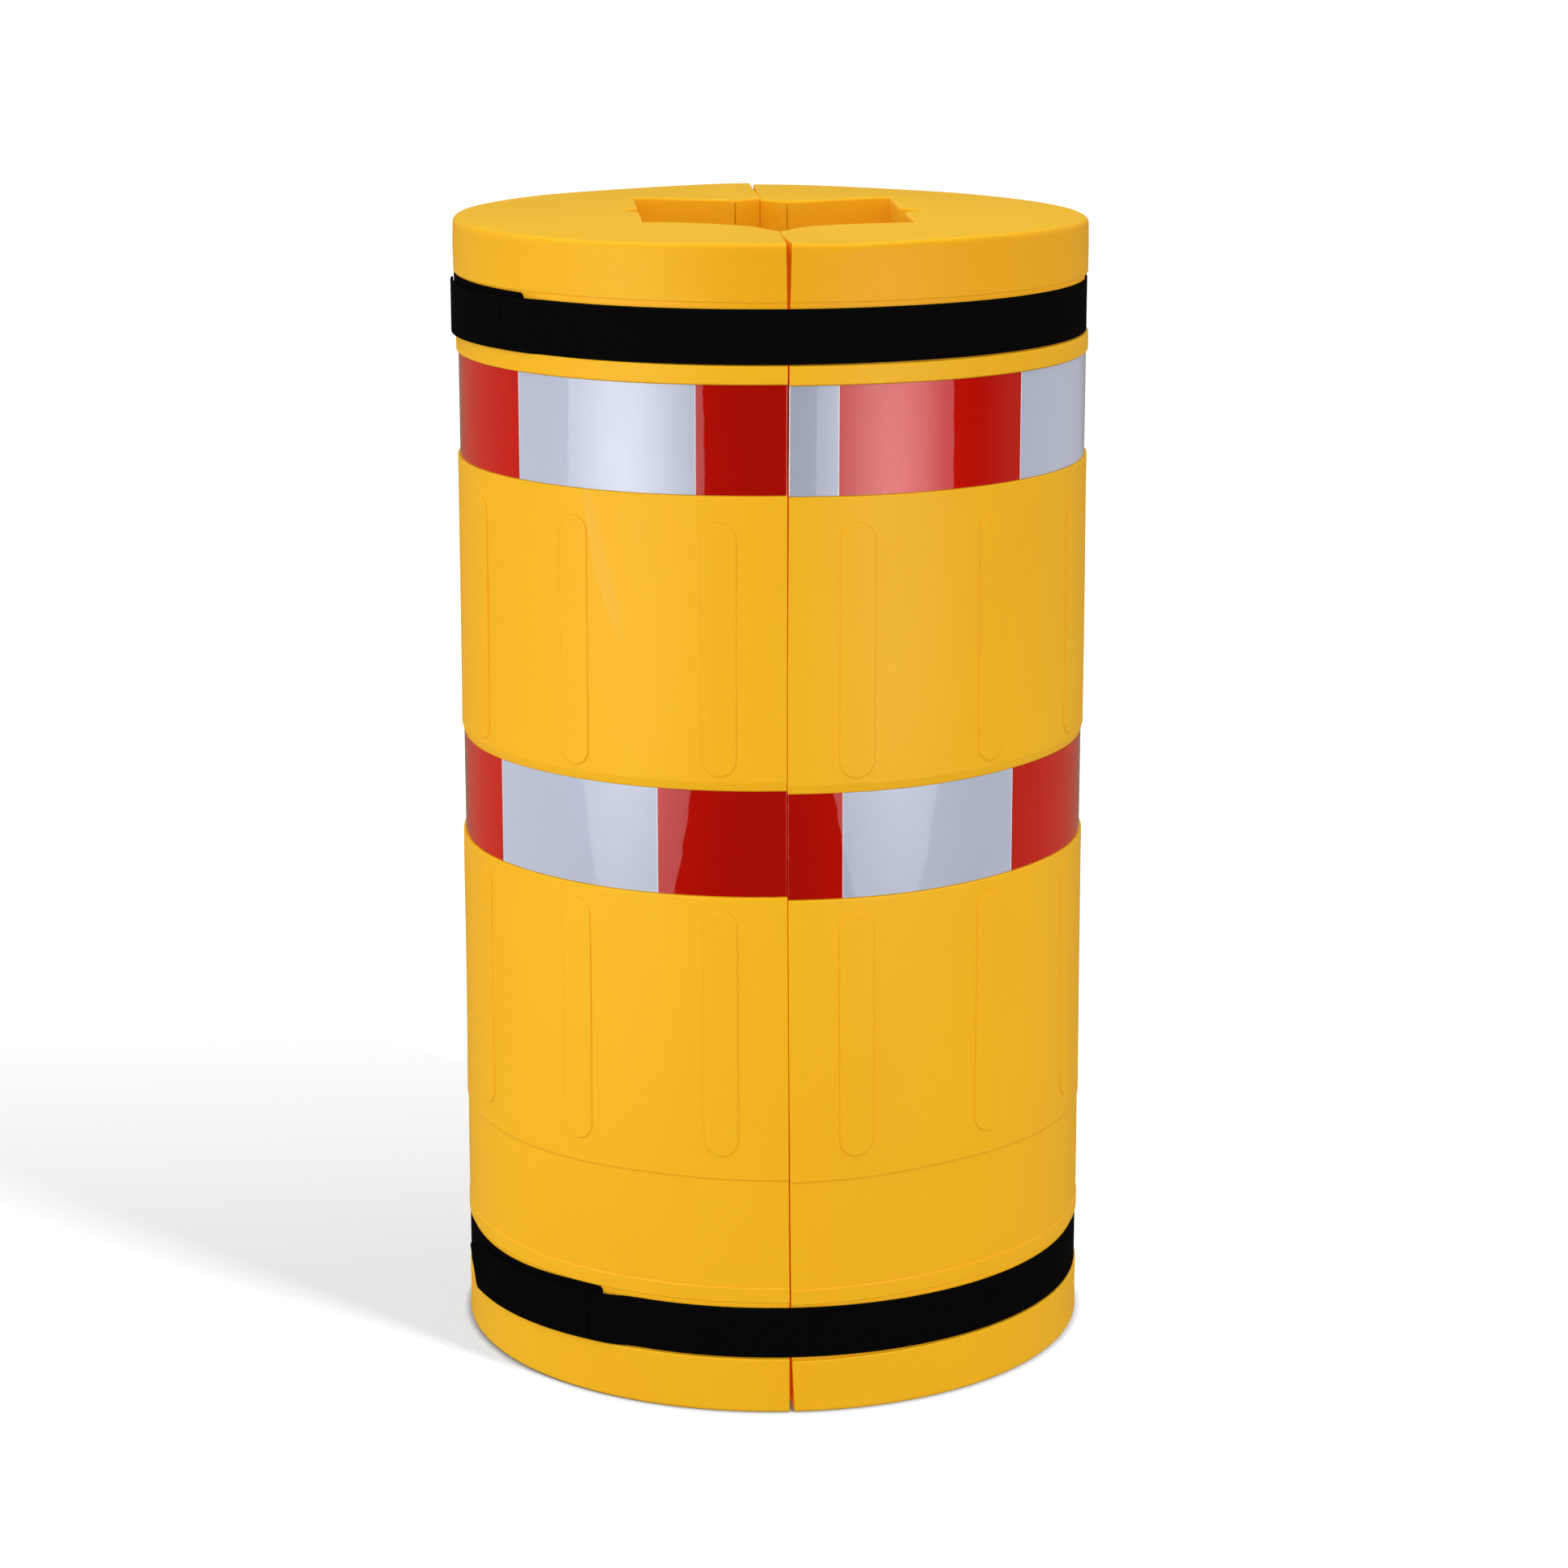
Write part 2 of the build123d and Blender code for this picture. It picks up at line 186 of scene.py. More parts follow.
class ShellSettings(bpy.types.PropertyGroup):
    """Sizes, colours and glow of the two moulded half shells."""

    draft: turn("Lean of the body towards its top", 0.2)
    lid_round: length("Rounding between the body and the lid", 0.0055)
    foot_round: length("Rounding at the floor", 0.003)
    channel_round: length("Rounding at the mouths of grooves and recesses", 0.0013)
    seam_round: length("Rounding all round the parting faces", 0.0008)
    opening_side: length("Side of the square column opening", 0.254)
    notch_width: length("Mouth of the V notch in each side of the opening", 0.046)
    notch_depth: length("Depth of the V notch", 0.02)
    opening_round: length("Rounding between the lid and the opening", 0.003)
    corner_round: length("Rounding of the opening's upright corners", 0.0025)
    parting_gap: length("Hairline between the closed halves", 0.00065)
    lower_gap: length("How far the seam opens further at the floor, each half", 0.00065)
    lower_gap_height: length("Height up to which it does", 0.35)
    upper_gap: length("How far a half stands back near the lid", 0.0006)
    upper_gap_start: length("Height above which the seam widens", 0.72)
    upper_gap_rise: length("Height over which it widens", 0.28)
    top_setback: length("How far the seam opens at the lid's outer edge, each half", 0.00175)
    top_setback_length: length("How far down the seam's upper gap runs", 0.096)
    leading_setback: length("Flare of the seam at the floor, leading edge", 0.0)
    trailing_setback: length("Flare of the seam at the floor, trailing edge", 0.003)
    foot_setback_length: length("How far up the flare at the floor runs", 0.075)
    foot_setback_depth: length("How far in the flare at the floor runs", 0.045)
    seam_reach: length("How far from the seam a half still leans back from it", 0.06)
    inner_mouth: length("How far out from the notch the hairline is open", 0.02)
    closed_share: share("Share of the hairline that stays open inside", 0.1)
    parallel_angle: share("Angle from a seam where columns stop being parallel to it, in radians", 0.04)
    parallel_fade: share("Angle over which they turn to point at the axis, in radians", 0.16)
    groove_depth: length("Depth of the strap grooves", 0.0033)
    groove_room_above: length("Room in a groove over its strap", 0.005)
    groove_room_below: length("Room in a groove under its strap", 0.0015)
    recess_depth: length("Depth of the tape recesses", 0.003)
    tape_margin: length("Room above and below a tape", 0.0006)
    bead_width: length("Height of the bead over the lower groove", 0.0143)
    bead_slope: length("Height of the slope over that bead", 0.0017)
    skirt_inset: length("How far the skirt stands back", 0.0009)
    skirt_top: length("Height where the skirt ends", 0.2319)
    skirt_step: length("Height of the step over the skirt", 0.0016)
    # Painted shade: width of the warm darker line put into the hollows over the bead and the skirt
    crease_line: length("Width of the warm line in a hollow", 0.0009)
    hem_inset: length("How far the hem over the lower tape turns in", 0.0022)
    hem_rise: length("Height over which the hem turns in", 0.008)
    pad_width: length("Width of the raised pads", 0.033)
    pad_relief: length("Height of the raised pads", 0.0012)
    pad_edge: length("Width of a pad's rounded edge", 0.0016)
    pad_foot: length("How far a pad's foot lies under the skin", 0.001)
    # Painted shade: width of the warm darker line put round each pad's foot
    pad_line: length("Width of the warm line round a pad", 0.0011)
    pad_first: turn("Angle of the first pad from a seam", 11.9)
    pad_pitch: turn("Angle between pads on the half's leading quarter", 27.8)
    trailing_pad_pitch: turn("Angle between pads on its trailing quarter", 26.85)
    pads_per_quarter: IntProperty(description="Pads between a seam and the side", default=3, min=1)
    pad_margin_near_lower_tape: length("Pads end this far from the lower tape's recess", 0.013)
    pad_margin_under_upper_tape: length("Pads end this far below the upper tape's recess", 0.024)
    pad_margin_over_skirt: length("Pads begin this far over the skirt", 0.023)
    unevenness: length("Slow swell of the moulded panels", 0.00022)
    swell_margin: length("Distance from an edge over which that swell grows", 0.03)
    swell_seam: share("Angle from a seam over which it grows, in radians", 0.12)
    lid_softness: length("How smoothly the lid's warp runs past a spot", 0.05)
    body_softness: length("How smoothly the body's lift runs past a spot", 0.03)
    settle_foot: length("Height over which the body's lift grows from the floor", 0.045)
    settle_top: length("Height over the upper tape by which it ends", 0.012)
    lean_reach: length("Distance from the front seam by which its lean ends", 0.12)
    yellow: paint("Colour of the moulded plastic", (0.915, 0.478, 0.0100))
    deep_yellow: paint("Colour where the plastic runs warmer", (0.895, 0.452, 0.0085))
    rim_yellow: paint("Colour of the right half's rim under the lid", (0.89, 0.425, 0.006))
    # Painted sheen: the lid's paler, less red yellow stands in for the light on the lid's top, not a
    # different plastic
    lid_yellow: paint("Colour of the lid", (0.868, 0.488, 0.0075))
    worn_yellow: paint("Colour of scratches and rubs", (0.92, 0.60, 0.16))
    # Painted shade: a warm darker colour put into hollows in place of the light that bounces between yellow
    # walls
    crease: paint("Colour in sharp hollows, where light goes from yellow to yellow", (0.86, 0.20, 0.003))
    crease_strength: share("Share of that colour in a hollow", 0.22)
    glow: paint("Light that comes through the plastic into the seam", (0.50, 0.035, 0.0005))
    top_glow: paint("The same under the lid", (0.48, 0.13, 0.002))
    shelter: paint("Light that the grooves' yellow walls throw to and fro", (0.15, 0.075, 0.002))
    edge_glow: share("Share of the glow on the seam's rounded edges", 0.05)
    opening_glow: share("Share of the glow on the opening's wall at the lid", 0.15)
    opening_glow_fade: length("Depth over which that fades", 0.12)
    face_glow: share("Share of the glow on the parting faces", 0.22)
    upper_face_glow: share("What is added to it under the lid", 0.04)
    upper_face_glow_start: length("Height where that begins", 0.9)
    upper_face_glow_rise: length("Height over which it grows", 0.2)
    daylight_share: share("Share of the glow lost where daylight falls into a wide gap", 0.7)
    daylight_depth: length("Depth over which that daylight fades", 0.012)
    daylight_gap: length("Setback that lets it in fully", 0.0015)
    tape_shade: share("Share of the glow lost behind the tape", 0.85)


class TapeSettings(bpy.types.PropertyGroup):
    """Sizes and colours of the reflective tape."""

    thickness: length("Thickness of the film", 0.0005)
    seat_gap: length("Glue under the film", 0.0003)
    block: length("Length of one printed block", 0.1985)
    lower_right_block: length("Length of one block on the lower right strip", 0.1885)
    block_gap: length("Gap between two blocks", 0.0002)
    upper_end_margin: length("Bare length at the seam, upper strips", 0.0007)
    lower_end_margin: length("Bare length at the seam, lower strips", 0.0003)
    upper_left_lead: length("First block of the upper left strip", 0.085)
    upper_right_lead: length("First block of the upper right strip", 0.046)
    lower_left_lead: length("First block of the lower left strip", 0.124)
    lower_right_lead: length("First block of the lower right strip", 0.0505)
    curl: length("Radius by which the film's ends bend into the seam", 0.0012)
    crease: length("Height of the small creases at the film's ends", 0.0003)
    crease_pitch: length("Distance between creases", 0.0066)
    crease_fade: length("Distance from an end over which they fade", 0.003)
    crease_slant: length("Distance over which a crease slants by one pitch", 0.0035)
    ripple: length("Height of the film's ripple", 0.000012)
    fine_ripple: length("Height of its finer ripple", 0.000005)
    red: paint("Red film", (0.41, 0.0042, 0.0008))
    white: paint("White film", (0.37, 0.402, 0.495))
    second_tone: share("Brightness of the film's darker patches", 0.985)
    rim: paint("Unprinted rim of the white film", (0.72, 0.76, 0.84))
    rim_width: length("Width of the unprinted rim", 0.0009)


class StrapSettings(bpy.types.PropertyGroup):
    """Sizes and colours of the two hook-and-loop straps."""

    thickness: length("Thickness of the webbing", 0.0018)
    layer_gap: length("Air between layers", 0.0003)
    hook_thickness: length("Thickness of the hook patch", 0.0012)
    hook_length: length("Length of the hook patch past the stitches", 0.162)
    hook_margin: length("Length of the hook patch before the stitches", 0.002)
    upper_under_end: turn("Angle of the upper strap's inner end", 51.8)
    lower_under_end: turn("Angle of the lower strap's inner end", 35.0)
    upper_stitch: turn("Angle of the upper strap's stitch row", 57.4)
    lower_stitch: turn("Angle of the lower strap's stitch row", 37.9)
    step_length: length("Length over which the outer layer steps up", 0.026)
    step_lead: length("The step ends this far before the inner end", 0.005)
    tab_length: length("Free end of the outer layer", 0.037)
    tab_round: length("Corners of the free end", 0.004)
    end_round: length("Corners of the inner end", 0.005)
    bend_length: length("Length of webbing that bends at a seam", 0.05)
    tab_bend: length("Length of webbing that bends at a tab", 0.02)
    tooth: length("Height of the woven edge's teeth", 0.00035)
    tooth_pitch: length("Distance between the teeth", 0.0026)
    tooth_depth: length("How far in from the edge the teeth reach", 0.0012)
    twill_pitch: length("Distance between the twill's diagonals", 0.0013)
    upper_tab_lift: length("How much further the upper tab's upper corner stands off", 0.0)
    lower_tab_lift: length("How much further the lower tab's upper corner stands off", 0.0063)
    tab_bow: share("Share of that by which a tab's middle stands off", 0.3)
    upper_tab_hug: share("Share of the body's curve that the upper tab follows", 1.0)
    lower_tab_hug: share("Share of the body's curve that the lower tab follows", 0.0)
    settle_start: turn("Angle where the inner layer begins to go back to the body", 90.0)
    settle_run: turn("Angle over which it does", 40.0)
    stitch_count: IntProperty(description="Stitches in a row", default=10, min=2)
    stitch_pitch: length("Distance between stitches", 0.0046)
    stitch_length: length("Length of one stitch", 0.0034)
    stitch_width: length("Width of one stitch", 0.0009)
    black: paint("Black webbing", (0.0013, 0.0012, 0.0012))
    thread: paint("Black thread", (0.0003, 0.0003, 0.0003))


class StageSettings(bpy.types.PropertyGroup):
    """Floor, light and camera."""

    floor_radius: length("Radius of the pale floor", 90.0)
    floor_shade: share("Share of the light that the floor gives back", 0.10)
    # Painted shade on the floor: the glow beside the object, its fade towards the back and the darkening at
    # the foot
    floor_glow: share("Paleness of the floor beside the object", 0.71)
    contact_reach: length("Reach of the dark line where the object meets the floor", 0.008)
    fade_start: length("How far behind the axis the floor starts to turn white", 0.10)
    fade_end: length("How far behind the axis the floor is white", 1.33)
    left_shine: share("Brightness of the left soft box as it is mirrored", 2.8)
    right_shine: share("Brightness of the right soft box as it is mirrored", 2.75)
    left_light: share("Brightness of the left soft box as it lights dull surfaces", 0.885)
    right_light: share("Brightness of the right soft box as it lights dull surfaces", 0.66)
    top_light: share("Brightness of the soft box overhead", 0.76)
    key_light: share("Brightness of the lamp that casts the shadow on the floor", 1150.0)
    fill_light: share("Even light from the room above", 0.84)
    bounce_light: share("Even light from the floor below", 0.50)
    room_light: share("Brightness of the room in front as it is mirrored", 0.02)
    backdrop_light: share("Brightness of the room behind as it is mirrored", 0.25)
    side_light: share("Brightness of the floor beside the object as it is mirrored", 0.23)
    backdrop_colour: paint("Colour of the room behind as it is mirrored", (1.0, 0.92, 0.68))
    image_size: share("Side of the square picture in pixels", 1932.0)
    focal_pixels: share("Focal length in pixels", 4800.0)
    top_place: spot("Place of the soft box overhead", (0.0, -0.8, 2.35))
    top_width: length("Width of the soft box overhead", 1.8)
    top_length: length("Length of the soft box overhead", 2.2)
    key_place: spot("Place of the lamp that casts the shadow", (3.205, -3.437, 3.2))
    key_target: spot("Where that lamp points", (0.0, 0.0, 0.4))
    key_size: length("Side of that lamp", 0.65)
    camera_place: spot("Place of the camera", (-0.1936, -3.7830, 1.4407))
    camera_pitch: turn("How far the camera looks down", 13.334)
    camera_heading: turn("How far the camera looks to the right of +Y", 3.102)


class GuardSettings(bpy.types.PropertyGroup):
    """All settings of the column protector."""

    shell: PointerProperty(type=ShellSettings)
    tape: PointerProperty(type=TapeSettings)
    strap: PointerProperty(type=StrapSettings)
    stage: PointerProperty(type=StageSettings)


# Shapes


def smooth(t):
    """Smoothstep of t, held between 0 and 1: three t squared less two t cubed."""
    t = np.clip(t, 0.0, 1.0)
    return t * t * (3 - 2 * t)


def unit(vector):
    """Vector divided by its length, along the last axis."""
    return vector / np.linalg.norm(vector, axis=-1, keepdims=True)


def rounded_path(corners, steps):
    """Points of a polyline whose corners (x, y, rounding) are arcs tangent to both runs.

    With a and b the unit vectors along the runs and h half the angle between them, the arc starts
    rounding / tan h from the corner and its centre lies rounding / sin h along a + b.
    """
    places = np.array([corner[:2] for corner in corners])
    pieces = []
    for index, (_, _, rounding) in enumerate(corners):
        corner = places[index]
        if rounding == 0:
            pieces.append(corner[None])
            continue
        a = unit(places[index - 1] - corner)
        b = unit(places[(index + 1) % len(places)] - corner)
        half = acos(a @ b) / 2
        centre = corner + unit(a + b) * rounding / sin(half)
        start = unit(corner + a * rounding / tan(half) - centre)
        finish = unit(corner + b * rounding / tan(half) - centre)
        sweep = pi - 2 * half
        t = np.linspace(0, 1, steps + 1)[:, None]
        arc = (np.sin((1 - t) * sweep) * start + np.sin(t * sweep) * finish) / sin(sweep)
        pieces.append(centre + rounding * arc)
    return np.concatenate(pieces)


def refined(path, support, spacing):
    """The path with points added beside long runs' ends and along long runs."""
    along = np.concatenate([[0], np.cumsum(np.linalg.norm(np.diff(path, axis=0), axis=1))])
    stations = np.unique(np.round(along, 7))
    gaps = np.diff(stations)
    long_run = gaps > 3 * support
    stations = np.concatenate([stations, stations[:-1][long_run] + support, stations[1:][long_run] - support])
    stations = np.sort(stations)
    counts = np.ceil(np.diff(stations) / spacing).astype(int)
    runs = [np.linspace(a, b, n, endpoint=False) for a, b, n in zip(stations, stations[1:], counts)]
    stations = np.append(np.concatenate(runs), stations[-1])
    return np.column_stack([np.interp(stations, along, path[:, axis]) for axis in (0, 1)])


def body_radius(shell, height):
    """Outer radius of the drafted body at a height."""
    return BASE_RADIUS - height * tan(shell.draft)


def channel(shell, low, high, depth):
    """Section corners of a square channel between two heights, cut a depth into the body at its middle."""
    floor = body_radius(shell, (low + high) / 2) - depth
    mouth = shell.channel_round
    return [
        (body_radius(shell, low), low, mouth),
        (floor, low, 0),
        (floor, high, 0),
        (body_radius(shell, high), high, mouth),
    ]


def pad_spans(shell):
    """Lowest and highest point of the two rows of pads."""
    lower_tape, upper_tape = TAPE_BOX["lower"], TAPE_BOX["upper"]
    near = shell.pad_margin_near_lower_tape + shell.tape_margin
    under = shell.pad_margin_under_upper_tape + shell.tape_margin
    return [
        (shell.skirt_top + shell.pad_margin_over_skirt, lower_tape[0].z - near),
        (lower_tape[1].z + near, upper_tape[0].z - under),
    ]


def pad_angles(shell):
    """Angles of the pads on one half, counted from its front seam."""
    step = np.arange(shell.pads_per_quarter)
    leading = shell.pad_first + shell.pad_pitch * step
    trailing = shell.pad_first + shell.trailing_pad_pitch * step
    return np.concatenate([leading, pi - trailing[::-1]])


def outer_section(shell):
    """Radius and height of the outer skin from the floor up to the lid."""
    above, below = shell.groove_room_above, shell.groove_room_below
    groove = {row: (box[0].z - below, box[1].z + above) for row, box in STRAP_BOX.items()}
    margin = shell.tape_margin
    recess = {row: (box[0].z - margin, box[1].z + margin) for row, box in TAPE_BOX.items()}
    inset, mouth = shell.skirt_inset, shell.channel_round
    bead_top = groove["lower"][1] + shell.bead_width
    hem_foot = recess["lower"][1]
    hem_top = hem_foot + shell.hem_rise
    corners = [(BASE_RADIUS - 2 * shell.foot_round, 0, 0), (BASE_RADIUS, 0, shell.foot_round)]
    corners += channel(shell, *groove["lower"], shell.groove_depth)
    corners += [
        (body_radius(shell, bead_top), bead_top, mouth),
        (body_radius(shell, bead_top) - inset, bead_top + shell.bead_slope, mouth / 4),
        (body_radius(shell, shell.skirt_top) - inset, shell.skirt_top, mouth / 4),
        (body_radius(shell, shell.skirt_top), shell.skirt_top + shell.skirt_step, mouth / 2),
    ]
    corners += channel(shell, *recess["lower"], shell.recess_depth)[:-1]
    corners += [
        (body_radius(shell, hem_foot) - shell.hem_inset, hem_foot, 0),
        (body_radius(shell, hem_top), hem_top, shell.hem_rise),
    ]
    corners += channel(shell, *recess["upper"], shell.recess_depth)
    corners += channel(shell, *groove["upper"], shell.groove_depth)
    corners += [(body_radius(shell, HEIGHT), HEIGHT, shell.lid_round)]
    corners += [(body_radius(shell, HEIGHT) - 2 * shell.lid_round, HEIGHT, 0)]
    return refined(rounded_path(corners, steps=5), support=0.0012, spacing=0.025)


def opening_radius(shell, angles):
    """Distance from the axis to the opening's wall at each angle from the front seam.

    The wall is a square with a V notch in the middle of each side and rounded corners. A ray at the angle
    meets the wall's segment from p to q at cross(p, q - p) / cross(ray, q - p).
    """
    half, notch, depth = shell.opening_side / 2, shell.notch_width / 2, shell.notch_depth
    side = [(half, -half), (half, -notch), (half + depth, 0), (half, notch)]
    rounds = [shell.corner_round, 2 * shell.corner_round, shell.corner_round, 2 * shell.corner_round]
    corners = []
    for quarter in range(4):
        c, s = round(cos(quarter * pi / 2)), round(sin(quarter * pi / 2))
        corners += [(c * x - s * y, s * x + c * y, r) for (x, y), r in zip(side, rounds)]
    wall = rounded_path(corners, steps=4)
    heading = np.mod(np.arctan2(-wall[:, 0], -wall[:, 1]), 2 * pi)
    order = np.argsort(heading)
    wall, heading = wall[order], heading[order]
    slot = np.searchsorted(heading, np.mod(angles, 2 * pi)) % len(wall)
    p, q = wall[slot - 1], wall[slot]
    ray = np.stack([-np.sin(angles), -np.cos(angles)], -1)
    run = q - p
    across = p[..., 0] * run[..., 1] - p[..., 1] * run[..., 0]
    return across / (ray[..., 0] * run[..., 1] - ray[..., 1] * run[..., 0])


def column_angles(shell):
    """Angles of the shell's columns from the front seam to the back one, close at seams and corners."""
    quarter_round = 1 - np.cos(np.linspace(0, pi / 2, 6))
    seam = np.arcsin(shell.seam_round * np.append(quarter_round, [1.5, 3, 6]) / BASE_RADIUS)
    notch_mouth = np.arctan2(shell.notch_width, shell.opening_side)
    corners = np.array([notch_mouth, pi / 4, pi / 2 - notch_mouth, pi / 2])
    corners = np.concatenate([corners, pi - corners[:-1]])
    fan = np.radians(np.array([-1.6, -0.7, 0, 0.7, 1.6]))
    even = np.radians(np.arange(2, 179, 1.5))
    middle = np.concatenate([(corners[:, None] + fan).ravel(), even])
    first = seam[-1] + radians(0.4)
    middle = np.unique(np.round(middle[(middle > first) & (middle < pi - first)], 4))
    middle = middle[np.concatenate([[True], np.diff(middle) > radians(0.2)])]
    return np.concatenate([seam, middle, pi - seam[::-1]])


def seam_shift(shell, points):
    """How far each point near the seam stands back from it: half the gap and the flares at its ends.

    The gap is a hairline that all but closes inside. Its mouth widens evenly towards the floor and the lid.
    A flare is a tilted plane: its depth times u + v - 1, with u counted outwards and v towards the end.
    """
    x, y, z = np.moveaxis(points, -1, 0)
    out = np.abs(y)
    notch_tip = shell.opening_side / 2 + shell.notch_depth
    u = (out - notch_tip) / (BASE_RADIUS - notch_tip)
    v = (z - (HEIGHT - shell.top_setback_length)) / shell.top_setback_length
    top = shell.top_setback * np.clip(u + v - 1, 0, None)
    u = (out - (BASE_RADIUS - shell.foot_setback_depth)) / shell.foot_setback_depth
    v = (shell.foot_setback_length - z) / shell.foot_setback_length
    flare = np.where(y < 0, shell.leading_setback, shell.trailing_setback)
    foot = flare * np.clip(u + v - 1, 0, None)
    mouth = np.clip(1 - (BASE_RADIUS - out) / shell.foot_setback_depth, 0, 1)
    inner_mouth = np.clip(1 - (out - notch_tip) / shell.inner_mouth, 0, 1)
    open_share = shell.closed_share + (1 - shell.closed_share) * np.maximum(mouth, inner_mouth)
    lower = shell.lower_gap * np.clip(1 - z / shell.lower_gap_height, 0, 1)
    upper = shell.upper_gap * np.clip((z - shell.upper_gap_start) / shell.upper_gap_rise, 0, 1)
    gap = shell.parting_gap / 2 * open_share + (lower + upper) * mouth
    return (gap + top + foot) * np.clip(1 - np.abs(x) / shell.seam_reach, 0, 1) ** 2


def panel_swell(shell, angle, height):
    """Slow unevenness of the moulded panels: a sum of three waves, with nothing in the channels."""
    wave = np.sin(3 * angle + 9 * height + 0.4) + np.sin(5 * angle - 14 * height + 2.1)
    wave = wave + 0.7 * np.sin(8 * angle + 21 * height + 4.0)
    bands = [*TAPE_BOX.values(), *STRAP_BOX.values()]
    edges = np.array([corner.z for box in bands for corner in box] + [0, HEIGHT])
    clear = np.abs(height[..., None] - edges).min(-1)
    inside = np.any([(height > box[0].z) & (height < box[1].z) for box in bands], axis=0)
    at_seam = smooth(np.minimum(angle, pi - angle) / shell.swell_seam)
    return shell.unevenness * wave * smooth(clear / shell.swell_margin) * ~inside * at_seam


def raised_pad(shell, middle, low, high):
    """Patch of one raised pad: rings drawn in from its outline, closed below the skin.

    The outline is two half circles joined by straight runs. Its edge is a quarter round: with t from 0 to a
    quarter turn, a ring is drawn in by E(1 - cos t) and stands H sin t over the skin.
    """
    half = shell.pad_width / 2
    t = np.linspace(0, pi / 2, 8)
    level = np.linspace(2 * shell.pad_edge, half, 5)
    foot = np.array([half, half / 2, 0])
    inset = np.concatenate([foot, shell.pad_edge * (1 - np.cos(t)), level])
    top = np.full(len(level), shell.pad_relief)
    rise = np.concatenate([np.full(len(foot), -shell.pad_foot), shell.pad_relief * np.sin(t), top])
    bend = np.linspace(0, pi, 33)
    heading = np.concatenate([bend, bend + pi, [0]])
    run = (high - low) / 2 - half
    along = np.concatenate([np.full(len(bend), run), np.full(len(bend), -run), [run]])
    height = (low + high) / 2 + (half - inset)[:, None] * np.sin(heading) + along
    angle = middle + (half - inset)[:, None] * np.cos(heading) / BASE_RADIUS
    radius = body_radius(shell, height) + panel_swell(shell, angle, height) + rise[:, None]
    # Painted shade and bounce light along the pad's outline
    line = np.broadcast_to((1 - smooth(inset / shell.pad_line))[:, None], height.shape)
    return lattice(polar(radius, angle, height), flip=True, crease=line, glow=0 * line, shelter=0 * line)


def taped(height):
    """True at the heights that the tape covers."""
    return np.any([(height > low.z) & (height < high.z) for low, high in TAPE_BOX.values()], axis=0)


def on_columns(shell, angles, radii):
    """Across and depth of points at radii on the shell's columns.

    Near the seam the columns are parallel to it, further away they point at the axis.
    """
    parallel = 1 - smooth((np.minimum(angles, pi - angles) - shell.parallel_angle) / shell.parallel_fade)
    across = -np.sin(angles) * (radii + (BASE_RADIUS - radii) * parallel)
    depth = -np.sign(np.cos(angles)) * np.sqrt(np.clip(radii**2 - across**2, 0, None))
    return across, depth


def opening_section(shell, angles, count):
    """Radius and height of the opening's wall at each column, in a count of rows from the lid to the floor.

    A column meets the wall at the radius that the wall has in the direction of that very point, which is
    found by going round and round.
    """
    wall = opening_radius(shell, angles)
    for _ in range(30):
        across, depth = on_columns(shell, angles, wall)
        wall = opening_radius(shell, np.arctan2(-across, -depth))
    edge = shell.opening_round
    ends = rounded_path([(edge, HEIGHT, 0), (0, HEIGHT, edge), (0, 0, edge), (edge, 0, 0)], steps=6)
    plain = count - len(ends)
    down = np.linspace(HEIGHT - edge, edge, plain + 2)[1:-1]
    half = len(ends) // 2
    drop = np.concatenate([ends[:half], np.column_stack([np.zeros(plain), down]), ends[half:]])
    return np.stack([wall + drop[:, :1], np.repeat(drop[:, 1:], len(angles), 1)], -1)


def closed_section(shell, angles, section):
    """Radius and height at each column of the whole section: outer skin, lid, opening's wall and floor."""
    radius = section[:, :1] + panel_swell(shell, angles[None], section[:, 1:])
    outer = np.stack([radius, np.repeat(section[:, 1:], len(angles), 1)], -1)
    inner = opening_section(shell, angles, len(section))
    ease = EASE[:, None, None]
    lid = outer[-1] + (inner[0] - outer[-1]) * ease
    floor = inner[-1] + (outer[0] - inner[-1]) * ease
    return np.concatenate([outer, lid, inner, floor])


def skin_marks(shell, section, draw_in, height):
    """Shares of painted shade and bounce light in creases, of glow and of shelter on the skin.

    Creases lie over the bead and the skirt. Glow lies on the seam's rounded edges, but not on taped ones, and
    fades down the opening's wall. Shelter lies in the grooves over the straps.
    """
    count = len(section)
    bead_crease = STRAP_BOX["lower"][1].z + shell.groove_room_above + shell.bead_width + shell.bead_slope
    # Painted shade and bounce light in the hollows over the bead and the skirt
    hollow = np.abs(section[:, 1:] - np.array([bead_crease, shell.skirt_top])).min(1)
    crease = np.zeros(height.shape)
    crease[:count] = (1 - smooth(hollow / shell.crease_line))[:, None]
    lid_end = count + len(EASE)
    opening = slice(lid_end, lid_end + count)
    glow = np.zeros(height.shape)
    glow[:lid_end] = shell.edge_glow * (draw_in / shell.seam_round) ** 2
    glow[:count] *= ~taped(section[:, 1:])
    glow[opening] = shell.opening_glow * np.exp((height[opening] - HEIGHT) / shell.opening_glow_fade)
    sunk = section[:, 0] < body_radius(shell, section[:, 1]) - shell.groove_depth / 2
    over_strap = section[:, 1:] - np.array([box[1].z for box in STRAP_BOX.values()])
    in_band = np.any((over_strap > 0) & (over_strap < shell.groove_room_above + 1e-5), axis=1)
    shelter = np.zeros(height.shape)
    shelter[:count] = (sunk & in_band)[:, None]
    return {"crease": crease, "glow": glow, "shelter": shelter}


